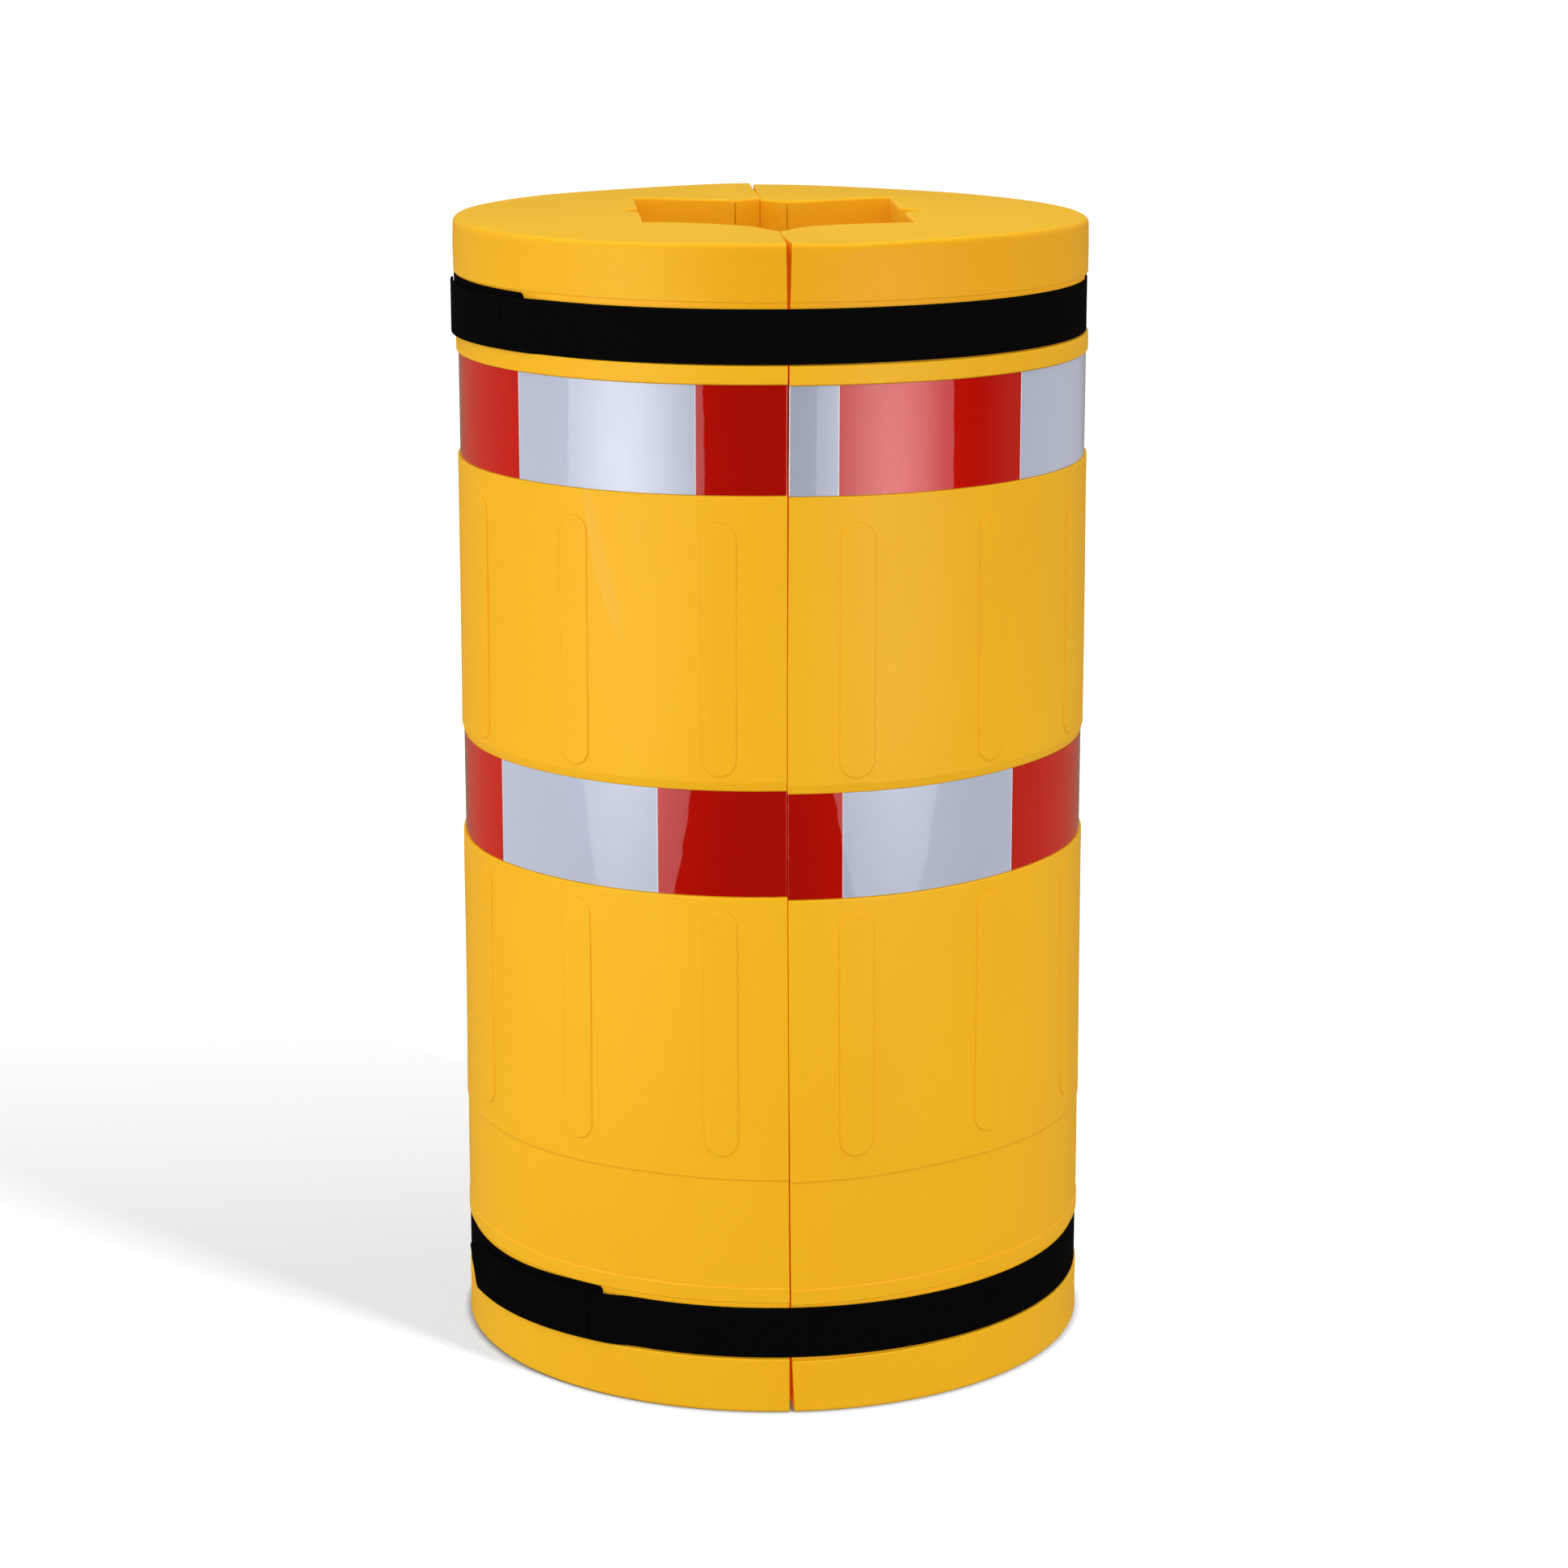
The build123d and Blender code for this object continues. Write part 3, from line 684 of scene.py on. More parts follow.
def parting_face(shell, points, count, column):
    """Patch of the parting face at the first or last column: straight lines from the skin to the opening.

    Glow comes through it, less where a wide gap lets daylight in and where the skin is taped.
    """
    lid, opening, floor = np.split(points[count:, column], [len(EASE), len(EASE) + count])
    skin = points[:count, column][:, None]
    inside = opening[::-1][:, None]
    face = skin + (inside - skin) * np.concatenate([[0], EASE, [1]])[None, :, None]
    face[0, 1:-1] = floor[::-1]
    face[-1, 1:-1] = lid
    gap = seam_shift(shell, face)
    face[..., 0] -= gap
    height = face[..., 2]
    depth_in = np.minimum(np.abs(skin[..., 1] - face[..., 1]), HEIGHT - height)
    daylight = np.exp(-depth_in / shell.daylight_depth) * smooth(gap / shell.daylight_gap)
    upper = smooth((height - shell.upper_face_glow_start) / shell.upper_face_glow_rise)
    glow = shell.face_glow + shell.upper_face_glow * upper
    glow = glow * (1 - shell.daylight_share * daylight) * (1 - shell.tape_shade * taped(height))
    return lattice(face, flip=column == 0, crease=0 * glow, glow=glow, shelter=0 * glow)


def half_shell(shell):
    """Patches of the left half: a closed section swept from seam to seam, two parting faces and the pads.

    The section goes up the outer skin, in over the lid, down the opening's wall and out over the floor.
    Towards the seam it draws in by R(1 - sin t) at a distance R(1 - cos t), which rounds every edge of the
    parting face.
    """
    angles = column_angles(shell)
    section = outer_section(shell)
    loop = closed_section(shell, angles, section)
    tangent = unit(np.roll(loop, -1, 0) - np.roll(loop, 1, 0))
    normal = np.stack([tangent[..., 1], -tangent[..., 0]], -1)
    beside = np.minimum(np.sin(angles) * BASE_RADIUS, shell.seam_round)
    draw_in = shell.seam_round - np.sqrt(shell.seam_round**2 - (shell.seam_round - beside) ** 2)
    loop = loop - normal * draw_in[None, :, None]
    points = np.stack([*on_columns(shell, angles, loop[..., 0]), loop[..., 1]], -1)
    skin = points.copy()
    skin[..., 0] -= seam_shift(shell, points)
    patches = [lattice(skin, closed=True, **skin_marks(shell, section, draw_in, loop[..., 1]))]
    patches += [parting_face(shell, points, len(section), column) for column in (0, -1)]
    patches += [raised_pad(shell, angle, *span) for span in pad_spans(shell) for angle in pad_angles(shell)]
    return patches


def spread_out(spots, softness, places):
    """Values at places that meet the values given at spots (two coordinates and a value).

    They are a sum of multiquadrics, each the root of the squared distance to a spot plus a squared softness,
    with weights found from the spots.
    """
    spots = np.array(spots)

    def swell(at):
        apart = at[..., None, :] - spots[:, :2]
        return np.sqrt((apart**2).sum(-1) + softness**2)

    return swell(places) @ np.linalg.solve(swell(spots[:, :2]), spots[:, 2])


def askew(points):
    """Points moved to the left as the upper end lies askew: not at the front, most at the lid's back."""
    most = 0.0065
    front = -0.17
    run_back = 0.48
    foot = 0.97
    rise = 0.11
    shift = most * smooth((points[..., 1] - front) / run_back) * smooth((points[..., 2] - foot) / rise)
    return points - shift[..., None] * np.array([1.0, 0.0, 0.0])


def settled(shell, points, side):
    """Points of a half as it really stands: its lid is warped, and its body sits a little higher or lower.

    The lid's lift is full at the lid and gone at the upper strap's groove, and the body's ends just over the
    upper tape. The front seam leans, and the upper end lies askew.
    """
    height = points[..., 2]
    foot = STRAP_BOX["upper"][1].z + shell.groove_room_above
    share_up = smooth((height - foot) / (HEIGHT - shell.lid_round - foot))
    lid = spread_out(np.array(LID_WARP[side]) / 1000, shell.lid_softness, points[..., :2])
    spots = [
        (radians(angle) * BASE_RADIUS, level / 1000, lift / 1000)
        for level, row in SETTLE[side].items()
        for angle, lift in row
    ]
    arc = np.arctan2(np.abs(points[..., 0]), -points[..., 1]) * BASE_RADIUS
    body = spread_out(spots, shell.body_softness, np.stack([arc, height], -1))
    over_tape = height - TAPE_BOX["upper"][1].z
    share_low = smooth(height / shell.settle_foot) * (1 - smooth(over_tape / shell.settle_top))
    lean = np.interp(height * 1000, *np.array(SEAM_LEAN).T) / 1000 * (1 - smooth(arc / shell.lean_reach))
    lifted = points.copy()
    lifted[..., 0] -= lean
    lifted[..., 2] += share_up * lid + share_low * body
    return askew(lifted)


def lattice(points, uv=None, flip=False, closed=False, **attributes):
    """Patch of points in rows and columns; a closed one joins its last row to its first."""
    return Patch(points, uv, flip, closed, attributes)


def lattice_faces(patch, first):
    """Corner numbers of a patch's quads, counted from the number of its first point."""
    rows, columns = patch.points.shape[:2]
    low = np.arange(rows if patch.closed else rows - 1)[:, None]
    left = np.arange(columns - 1)
    a = low * columns + left
    b = (low + 1) % rows * columns + left
    faces = np.stack([a, b, b + 1, a + 1], -1).reshape(-1, 4) + first
    return faces[:, ::-1] if patch.flip else faces


def new_object(name, data):
    """Object in the scene that holds a mesh, a lamp or a camera."""
    made = bpy.data.objects.new(name, data)
    bpy.context.scene.collection.objects.link(made)
    return made


def mesh_piece(name, patches, material, sharp=40.0):
    """Object made of patches, welded where their points meet, smooth below the sharp angle in degrees."""
    counts = np.cumsum([0] + [patch.points.shape[0] * patch.points.shape[1] for patch in patches])
    points = np.concatenate([patch.points.reshape(-1, 3) for patch in patches])
    faces = np.concatenate([lattice_faces(patch, first) for patch, first in zip(patches, counts)])
    mesh = bpy.data.meshes.new(name)
    mesh.from_pydata(points, [], faces)
    if patches[0].uv is not None:
        uv = np.concatenate([patch.uv.reshape(-1, 2) for patch in patches])
        layer = mesh.uv_layers.new(name="UVMap")
        layer.data.foreach_set("uv", uv[faces.ravel()].astype(np.float32).ravel())
    for key in patches[0].attributes:
        values = np.concatenate([patch.attributes[key].ravel() for patch in patches])
        mesh.attributes.new(key, "FLOAT", "POINT").data.foreach_set("value", values.astype(np.float32))
    work = bmesh.new()
    work.from_mesh(mesh)
    bmesh.ops.remove_doubles(work, verts=work.verts, dist=1e-6)
    bmesh.ops.dissolve_degenerate(work, edges=work.edges, dist=1e-7)
    work.to_mesh(mesh)
    work.free()
    mesh.polygons.foreach_set("use_smooth", np.ones(len(mesh.polygons), bool))
    mesh.set_sharp_from_angle(angle=radians(sharp))
    mesh.materials.append(material)
    return new_object(name, mesh)


def around(points):
    """Surface coordinates of points: arc length from the front seam, left positive, and height."""
    return np.stack([np.arctan2(-points[..., 0], -points[..., 1]) * BASE_RADIUS, points[..., 2]], -1)


def polar(radius, angle, height):
    """Points at a radius, an angle from the front seam and a height."""
    radius, angle, height = np.broadcast_arrays(radius, angle, height)
    return np.stack([-radius * np.sin(angle), -radius * np.cos(angle), height], -1)


def tape_strip(shell, tape, row, side):
    """What sets one strip of tape apart: the floor of its recess, its end margin, blocks and creases."""
    low, high = (corner.z for corner in TAPE_BOX[row])
    return Strip(
        row=row,
        side=side,
        floor=body_radius(shell, (low + high) / 2) - shell.recess_depth,
        margin=getattr(tape, f"{row}_end_margin"),
        lead=getattr(tape, f"{row}_{side}_lead"),
        block=getattr(tape, f"{row}_{side}_block", tape.block),
        first="white" if (row, side) == WHITE_FIRST else "red",
        crease=tape.crease * CREASED[row, side],
    )


def tape_blocks(tape, strip):
    """Start and finish angles of the blocks of one strip by colour, from the front seam to the back one."""
    end = strip.margin / strip.floor
    cuts = np.arange(strip.lead / strip.floor, pi - end, strip.block / strip.floor)
    cuts = np.concatenate([[0], cuts, [pi]])
    half_gap = tape.block_gap / 2 / strip.floor
    spans = {colour: [] for colour in BLOCK_COLOURS}
    for index, (start, finish) in enumerate(zip(cuts, cuts[1:]), BLOCK_COLOURS.index(strip.first)):
        span = (max(start + half_gap, end), min(finish - half_gap, pi - end))
        spans[BLOCK_COLOURS[index % 2]].append(span)
    return spans


def film_grid(tape, run, tall):
    """Distances of a film's columns from its start and of its rows from its lower edge, close at the rim."""
    step = 0.003
    quarter = tape.curl * (1 - np.cos(np.linspace(0, pi / 2, 9)))
    near_end = np.concatenate([quarter, np.geomspace(0.0016, 0.01, 8)])
    along = np.concatenate([near_end, np.arange(0.013, run - 0.0125, step), run - near_end[::-1]])
    near_edge = np.array([0, 0.0006, 0.002])
    inner_rows = np.linspace(0.0032, tall - 0.0032, 60)
    return along, np.concatenate([near_edge, inner_rows, tall - near_edge[::-1]])


def ripples(tape, height, angle):
    """Height of a film's ripples: a slow and a quick product of sines, over metres and over radians."""
    slow = np.sin(height * 190 + 3 * np.sin(angle * 17)) * np.sin(angle * 61 + height * 40)
    quick = np.sin(height * 520 + angle * 40) * np.sin(angle * 150 - height * 130)
    return tape.ripple * slow + tape.fine_ripple * quick


def film_block(shell, tape, strip, start, finish):
    """Patches of one block of film: outer face, inner face and rim.

    The film follows the recess and ripples. At a seam it bends in by a quarter round,
    C - sqrt(C^2 - (C - d)^2) at a distance d from its end with C the curl, and small slanting creases fade
    away from that end.
    """
    low, high = (corner.z for corner in TAPE_BOX[strip.row])
    floor = strip.floor
    run = (finish - start) * floor
    along, across = film_grid(tape, run, high - low)
    angle = (start + along / floor)[None, :]
    height = (low + across)[:, None]
    to_seam = np.minimum(angle, pi - angle) * floor - strip.margin
    bend = np.clip(tape.curl - to_seam, 0, tape.curl)
    bend = tape.curl - np.sqrt(tape.curl**2 - bend**2)
    phase = height / tape.crease_pitch - to_seam / tape.crease_slant
    wave = np.sin(2 * pi * phase + 2 * np.sin(height * 260))
    crumple = strip.crease * np.clip(wave, 0, 1) ** 2 * np.exp(-to_seam / tape.crease_fade)
    lift = crumple + ripples(tape, height, angle) - bend
    bottom = floor + tape.seat_gap
    way = SIDES[strip.side]
    outer = settled(shell, polar(bottom + tape.thickness + lift, way * angle, height), strip.side)
    inner = settled(shell, polar(bottom + np.minimum(lift, 0), way * angle, height), strip.side)
    rim = np.broadcast_to(np.minimum(along, run - along), lift.shape)
    flip = way < 0
    patches = [
        lattice(outer, around(outer), flip, rim=rim),
        lattice(inner, around(inner), not flip, rim=rim),
    ]
    walls = [
        (np.stack([outer[0], inner[0]]), rim[[0, 0]], not flip),
        (np.stack([outer[-1], inner[-1]]), rim[[-1, -1]], flip),
        (np.stack([outer[:, 0], inner[:, 0]]), rim[:, [0, 0]].T, flip),
        (np.stack([outer[:, -1], inner[:, -1]]), rim[:, [-1, -1]].T, not flip),
    ]
    patches += [lattice(wall, around(wall), turned, rim=edge) for wall, edge, turned in walls]
    return patches


def strap_layers(strap, row):
    """Mid radii, angles and heights of one strap, worked out from where the frame has its right run."""
    box = STRAP_BOX[row]
    under_outer = box[1].x
    over_inner = under_outer + 2 * strap.layer_gap + strap.hook_thickness
    under_end = getattr(strap, f"{row}_under_end")
    stitch = getattr(strap, f"{row}_stitch")
    step_finish = under_end - strap.step_lead / under_outer
    return {
        "under": under_outer - strap.thickness / 2,
        "hook": under_outer + strap.layer_gap + strap.hook_thickness / 2,
        "over": over_inner + strap.thickness / 2,
        "hinge": under_outer,
        "under_end": under_end,
        "stitch": stitch,
        "hook_start": stitch - strap.hook_margin / over_inner,
        "tab": stitch + strap.hook_length / over_inner,
        "step": (step_finish - strap.step_length / under_outer, step_finish),
        "height": (box[0].z + box[1].z) / 2,
        "half_width": (box[1].z - box[0].z) / 2,
        "rise": np.array(RISE[row]),
        "droop": np.array(DROOP[row]),
        "stand_off": np.array(STAND_OFF[row]),
        "tab_lift": getattr(strap, f"{row}_tab_lift"),
        "tab_hug": getattr(strap, f"{row}_tab_hug"),
    }


def over_height(layers, angle):
    """Mid height of the outer layer, which hangs lower towards its end."""
    return layers["height"] - np.interp(np.degrees(angle), *layers["droop"].T) / 1000


def off_body(layers, angle):
    """How much further from the axis the outer layer stands towards its end."""
    return np.interp(np.degrees(angle), *layers["stand_off"].T) / 1000


def under_height(layers, angle):
    """Mid height of the inner layer, which rides up towards its end under the outer layer."""
    return layers["height"] + np.interp(np.degrees(angle), *layers["rise"].T) / 1000


def webbing(strap, path, outward, half_width, half_thickness, tooth, trim=None):
    """Patches of a flat band with round edges carried along a path, and its two ends.

    At each point the section lies in the outward direction and the one square to it and to the path. Its
    faces are half the thickness out and in, and close towards the edges as half circles. The woven edges have
    teeth, a sine of the length along the band. Trim narrows the band at each point of the path.
    """
    run = np.concatenate([[0], np.cumsum(np.linalg.norm(np.diff(path, axis=0), axis=1))])
    tangent = unit(np.gradient(path, run, axis=0))
    upward = unit(np.cross(outward, tangent))
    upward = upward * np.sign(upward[:, 2:])
    bend = np.linspace(0, pi / 2, 5)
    edge = half_width - half_thickness * (1 - np.sin(bend))
    flat = np.linspace(-edge[0], edge[0], 11)[1:-1]
    across = np.concatenate([-edge[::-1], flat, edge])
    rise = np.concatenate([np.cos(bend[::-1]), np.ones(len(flat)), np.cos(bend)]) * half_thickness
    close = np.clip(1 - (edge[0] - np.abs(across)) / strap.tooth_depth, 0, 1) * np.sign(across)
    teeth = tooth * np.sin(2 * pi * run / strap.tooth_pitch)
    spread = across[:, None] + close[:, None] * teeth
    if trim is not None:
        spread = spread * (1 - trim / half_width)
    faces = [
        path + outward * (way * rise)[:, None, None] + upward * spread[..., None] for way in (1, -1)
    ]
    uv = np.stack([np.broadcast_to(run, spread.shape), np.broadcast_to(across[:, None], spread.shape)], -1)
    clockwise = np.cross(upward[0], tangent[0]) @ outward[0] > 0
    patches = [lattice(faces[0], uv, not clockwise), lattice(faces[1], uv, clockwise)]
    for column, way in ((0, clockwise), (-1, not clockwise)):
        end = np.stack([faces[0][:, column], faces[1][:, column]])
        patches.append(lattice(end, uv[:, [column, column]].transpose(1, 0, 2), not way))
    return patches


def front_path(strap, layers):
    """Path and outward side of the front stretch, from the right side past the front seam to the tab."""
    spacing = strap.tooth_pitch / 4 / layers["hinge"]
    angle = np.arange(-pi / 2, layers["tab"], spacing)
    angle = np.append(angle, layers["tab"])
    step = smooth((angle - layers["step"][0]) / (layers["step"][1] - layers["step"][0]))
    radius = layers["under"] + (layers["over"] - layers["under"]) * step + off_body(layers, angle)
    return askew(polar(radius, angle, over_height(layers, angle))), polar(1.0, angle, 0.0)


def back_path(strap, layers):
    """Path, outward side and trim of the back stretch, from the right side past the back seam to its end."""
    spacing = strap.tooth_pitch / 4 / layers["hinge"]
    angle = np.append(np.arange(1.5 * pi, layers["under_end"], -spacing), layers["under_end"])
    left = (angle - layers["under_end"]) * layers["hinge"]
    fade = 1 - smooth((angle - strap.settle_start) / strap.settle_run)
    radius = layers["under"] + off_body(layers, angle) * fade
    path = askew(polar(radius, angle, under_height(layers, angle)))
    return path, polar(1.0, angle, 0.0), corner_trim(strap.end_round, left)


def corner_trim(rounding, left):
    """How much a band narrows on each side at round corners, with a length left to its end."""
    corner = np.clip(rounding - left, 0, rounding)
    return rounding - np.sqrt(rounding**2 - corner**2)


def tab_path(strap, layers):
    """Path of the free tab: on from the outer layer's end, still sinking at the same slope.

    It runs straight on or follows the body. It stands off and twists with the square of the distance, so that
    its upper corner stands off most.
    """
    ahead = np.array([0, 1e-4])
    angle = layers["tab"] + ahead
    ends = askew(polar(layers["over"] + off_body(layers, angle), angle, over_height(layers, angle)))
    along = unit(ends[1] - ends[0])
    distance = np.linspace(0, strap.tab_length, int(4 * strap.tab_length / strap.tooth_pitch))
    bent = (distance[:, None] / strap.tab_length) ** 2
    straight_out = polar(1.0, layers["tab"], 0.0)
    bend = layers["tab_hug"] * distance[:, None] / layers["over"]
    lift = strap.tab_bow * layers["tab_lift"] * bent - distance[:, None] * bend / 2
    path = ends[0] + distance[:, None] * along + straight_out * lift
    twist = layers["tab_lift"] / (2 * layers["half_width"]) * bent
    outward = unit(straight_out + along * bend) * np.cos(twist) - np.array([0.0, 0.0, 1.0]) * np.sin(twist)
    return path, outward, corner_trim(strap.tab_round, strap.tab_length - distance)


def stitch_row(strap, layers):
    """Patches of one upright row of stitches: half-sunk ellipsoids on the outer layer."""
    middle = over_height(layers, np.array(layers["stitch"]))
    places = middle + strap.stitch_pitch * (np.arange(strap.stitch_count) - (strap.stitch_count - 1) / 2)
    around_axis = np.linspace(0, 2 * pi, 9)[:, None]
    along_axis = np.linspace(0, pi, 9)[None, :]
    girth = strap.stitch_width / 2 * np.sin(along_axis)
    patches = []
    for place in places:
        radius = layers["over"] + strap.thickness / 2 + girth * np.cos(around_axis)
        angle = layers["stitch"] + girth * np.sin(around_axis) / layers["over"]
        height = place - strap.stitch_length / 2 * np.cos(along_axis)
        points = askew(polar(radius + off_body(layers, angle), angle, height))
        patches.append(lattice(points, around(points), flip=True))
    return patches


# Finishes


def feed(tree, node, inputs):
    """Give a node its inputs, which are values or the sockets to link from."""
    for key, value in inputs.items():
        if isinstance(value, bpy.types.NodeSocket):
            tree.links.new(value, node.inputs[key])
        else:
            node.inputs[key].default_value = value


def add(tree, kind, inputs=None, **settings):
    """Node of a kind, with settings and inputs."""
    made = tree.nodes.new(kind)
    for key, value in settings.items():
        setattr(made, key, value)
    feed(tree, made, inputs or {})
    return made


def empty_tree(owner):
    """Emptied node tree of a material, a world or a lamp."""
    owner.use_nodes = True
    owner.node_tree.nodes.clear()
    return owner.node_tree


def fresh_material(name):
    """Material with its node tree, its Principled shader and its output."""
    material = bpy.data.materials.new(name)
    tree = empty_tree(material)
    shader = add(tree, "ShaderNodeBsdfPrincipled")
    add(tree, "ShaderNodeOutputMaterial", {"Surface": shader.outputs["BSDF"]})
    return material, tree, shader


def fresh_group(name, inputs, outputs):
    """Shader node group with named sockets, the sockets that it is given, and its end node."""
    group = bpy.data.node_groups.new(name, "ShaderNodeTree")
    for way, sockets in (("INPUT", inputs), ("OUTPUT", outputs)):
        for key, kind in sockets.items():
            group.interface.new_socket(key, in_out=way, socket_type=f"NodeSocket{kind}")
    return group, add(group, "NodeGroupInput").outputs, add(group, "NodeGroupOutput")


def use_group(tree, name, inputs):
    """Outputs of a group placed in a tree."""
    return add(tree, "ShaderNodeGroup", inputs, node_tree=bpy.data.node_groups[name]).outputs


def blend_colour(tree, factor, first, second):
    """Socket of a colour mixed from two by a factor."""
    return add(tree, "ShaderNodeMix", {0: factor, 6: first, 7: second}, data_type="RGBA").outputs[2]


def maths(tree, operation, *values, clamp=False):
    """Socket of a maths node."""
    inputs = dict(enumerate(values))
    return add(tree, "ShaderNodeMath", inputs, operation=operation, use_clamp=clamp).outputs[0]


def vector_maths(tree, operation, inputs, output="Vector"):
    """Socket of a vector maths node."""
    return add(tree, "ShaderNodeVectorMath", inputs, operation=operation).outputs[output]


def split(tree, vector):
    """Sockets of a vector's X, Y and Z."""
    return add(tree, "ShaderNodeSeparateXYZ", {"Vector": vector}).outputs


def off_axis(tree, vector):
    """Socket of a vector's distance from the Z axis."""
    flat = vector_maths(tree, "MULTIPLY", {0: vector, 1: (1.0, 1.0, 0.0)})
    return vector_maths(tree, "LENGTH", {0: flat}, "Value")


def point_value(tree, name):
    """Socket of a value that the mesh holds at its points."""
    return add(tree, "ShaderNodeAttribute", attribute_name=name).outputs["Fac"]


def bump(tree, height, strength, distance):
    """Socket of a normal bent by a height."""
    inputs = {"Strength": strength, "Distance": distance, "Height": height}
    return add(tree, "ShaderNodeBump", inputs).outputs["Normal"]


def ramp(tree, value, low, high, start=0.0, finish=1.0):
    """Socket of a value mapped smoothly from low and high to start and finish."""
    inputs = {"Value": value, "From Min": low, "From Max": high, "To Min": start, "To Max": finish}
    return add(tree, "ShaderNodeMapRange", inputs, interpolation_type="SMOOTHSTEP").outputs["Result"]


def noise(tree, coordinates, scale, detail=2.0, roughness=0.5):
    """Socket of a noise value."""
    inputs = {"Vector": coordinates, "Scale": scale, "Detail": detail, "Roughness": roughness}
    return add(tree, "ShaderNodeTexNoise", inputs).outputs["Fac"]


def stretched(tree, coordinates, scale, rotation=(0, 0, 0)):
    """Socket of coordinates scaled and turned by a Mapping node."""
    inputs = {"Vector": coordinates, "Scale": scale, "Rotation": rotation}
    return add(tree, "ShaderNodeMapping", inputs).outputs["Vector"]


def rgba(colour):
    """Colour with a full alpha."""
    return (*colour, 1.0)


def make_mottle_group():
    """Slow drift between two tones, and a fine grain, for the moulded plastic and the films."""
    inputs = {"Coordinates": "Vector", "Tone": "Color", "Second Tone": "Color"}
    inputs |= {"Patch Scale": "Float", "Grain Scale": "Float"}
    outputs = {"Color": "Color", "Grain": "Float", "Patches": "Float"}
    group, given, result = fresh_group("tone_and_grain", inputs, outputs)
    patches = noise(group, given["Coordinates"], given["Patch Scale"], detail=3.0, roughness=0.55)
    grain = noise(group, given["Coordinates"], given["Grain Scale"], roughness=0.6)
    mixed = blend_colour(group, ramp(group, patches, 0.34, 0.68), given["Tone"], given["Second Tone"])
    feed(group, result, {"Color": mixed, "Grain": grain, "Patches": patches})


def make_scuff_group():
    """Faint scratches from stretched noise, for the moulded plastic and the films."""
    inputs = {"Coordinates": "Vector", "Amount": "Float"}
    group, given, result = fresh_group("fine_scratches", inputs, {"Scratches": "Float"})
    drawn_up = stretched(group, given["Coordinates"], scale=(900, 14, 1), rotation=(0, 0, 0.5))
    drawn_along = stretched(group, given["Coordinates"], scale=(26, 1100, 1), rotation=(0, 0, 0.2))
    steep = ramp(group, noise(group, drawn_up, scale=1.0), 0.70, 0.78)
    level = ramp(group, noise(group, drawn_along, scale=1.0), 0.71, 0.79)
    worn = ramp(group, noise(group, given["Coordinates"], scale=9.0), 0.52, 0.68)
    lines = maths(group, "MULTIPLY", maths(group, "MAXIMUM", steep, level), worn)
    feed(group, result, {"Scratches": maths(group, "MULTIPLY", lines, given["Amount"])})


def make_twill_group():
    """Diagonal ribs and crossing yarns of woven webbing, read from the band's own coordinates."""
    inputs = {"Coordinates": "Vector", "Pitch": "Float"}
    group, given, result = fresh_group("twill_weave", inputs, {"Height": "Float", "Fuzz": "Float"})
    along, across, _ = split(group, given["Coordinates"])
    rate = maths(group, "DIVIDE", 2 * pi, given["Pitch"])
    slant = maths(group, "MULTIPLY_ADD", across, 0.62, along)
    ribs = maths(group, "SINE", maths(group, "MULTIPLY", slant, rate))
    yarn_rate = maths(group, "MULTIPLY", rate, 1.6)
    yarn = maths(group, "SINE", maths(group, "MULTIPLY", across, yarn_rate))
    woven = maths(group, "MULTIPLY_ADD", yarn, 0.35, ribs)
    height = maths(group, "MULTIPLY_ADD", woven, 0.37, 0.5)
    fuzz = noise(group, given["Coordinates"], scale=2600.0, roughness=0.7)
    feed(group, result, {"Height": height, "Fuzz": fuzz})


def mottled(tree, place, first, second, patch_scale, grain_scale):
    """Outputs of the tone and grain group between two colours."""
    inputs = {"Coordinates": place, "Tone": rgba(first), "Second Tone": rgba(second)}
    inputs |= {"Patch Scale": patch_scale, "Grain Scale": grain_scale}
    return use_group(tree, "tone_and_grain", inputs)


def scratched(tree, place, amount):
    """Socket of the mask of faint scratches."""
    return use_group(tree, "fine_scratches", {"Coordinates": place, "Amount": amount})["Scratches"]


def rub_mark(tree, across, height):
    """Mask of one pale rub on the left half, shaped as a blade that hangs from the upper tape.

    Its left edge is a parabola over the height, its right edge is straight and then upright. It is palest
    along its left edge.
    """
    base_height = 0.81
    base_across = 0.1906
    base_slope = 0.2916
    bow = -2.087
    right_slope = 0.2936
    right_start = -0.0642
    upright = 0.162
    above = maths(tree, "SUBTRACT", height, base_height)
    slope = maths(tree, "MULTIPLY_ADD", above, bow, base_slope)
    left_edge = maths(tree, "MULTIPLY_ADD", above, slope, base_across)
    right_edge = maths(tree, "MULTIPLY_ADD", height, right_slope, right_start)
    right_edge = maths(tree, "MAXIMUM", right_edge, upright)
    from_left = maths(tree, "SUBTRACT", left_edge, across)
    inside = maths(tree, "MINIMUM", from_left, maths(tree, "SUBTRACT", across, right_edge))
    blade = ramp(tree, inside, 0.0, 0.0012)
    strength = ramp(tree, from_left, 0.001, 0.004, start=0.20, finish=0.13)
    under_tape = ramp(tree, height, 0.90, 0.88)
    return maths(tree, "MULTIPLY", maths(tree, "MULTIPLY", blade, strength), under_tape)


def right_rim(tree, place, across, height):
    """Mask of the right half's outside just under the lid."""
    near_lid = ramp(tree, height, 1.03, 1.06)
    on_right = ramp(tree, across, 0.16, 0.02)
    outside = ramp(tree, off_axis(tree, place), 0.28, 0.30)
    return maths(tree, "MULTIPLY", maths(tree, "MULTIPLY", near_lid, on_right), outside)


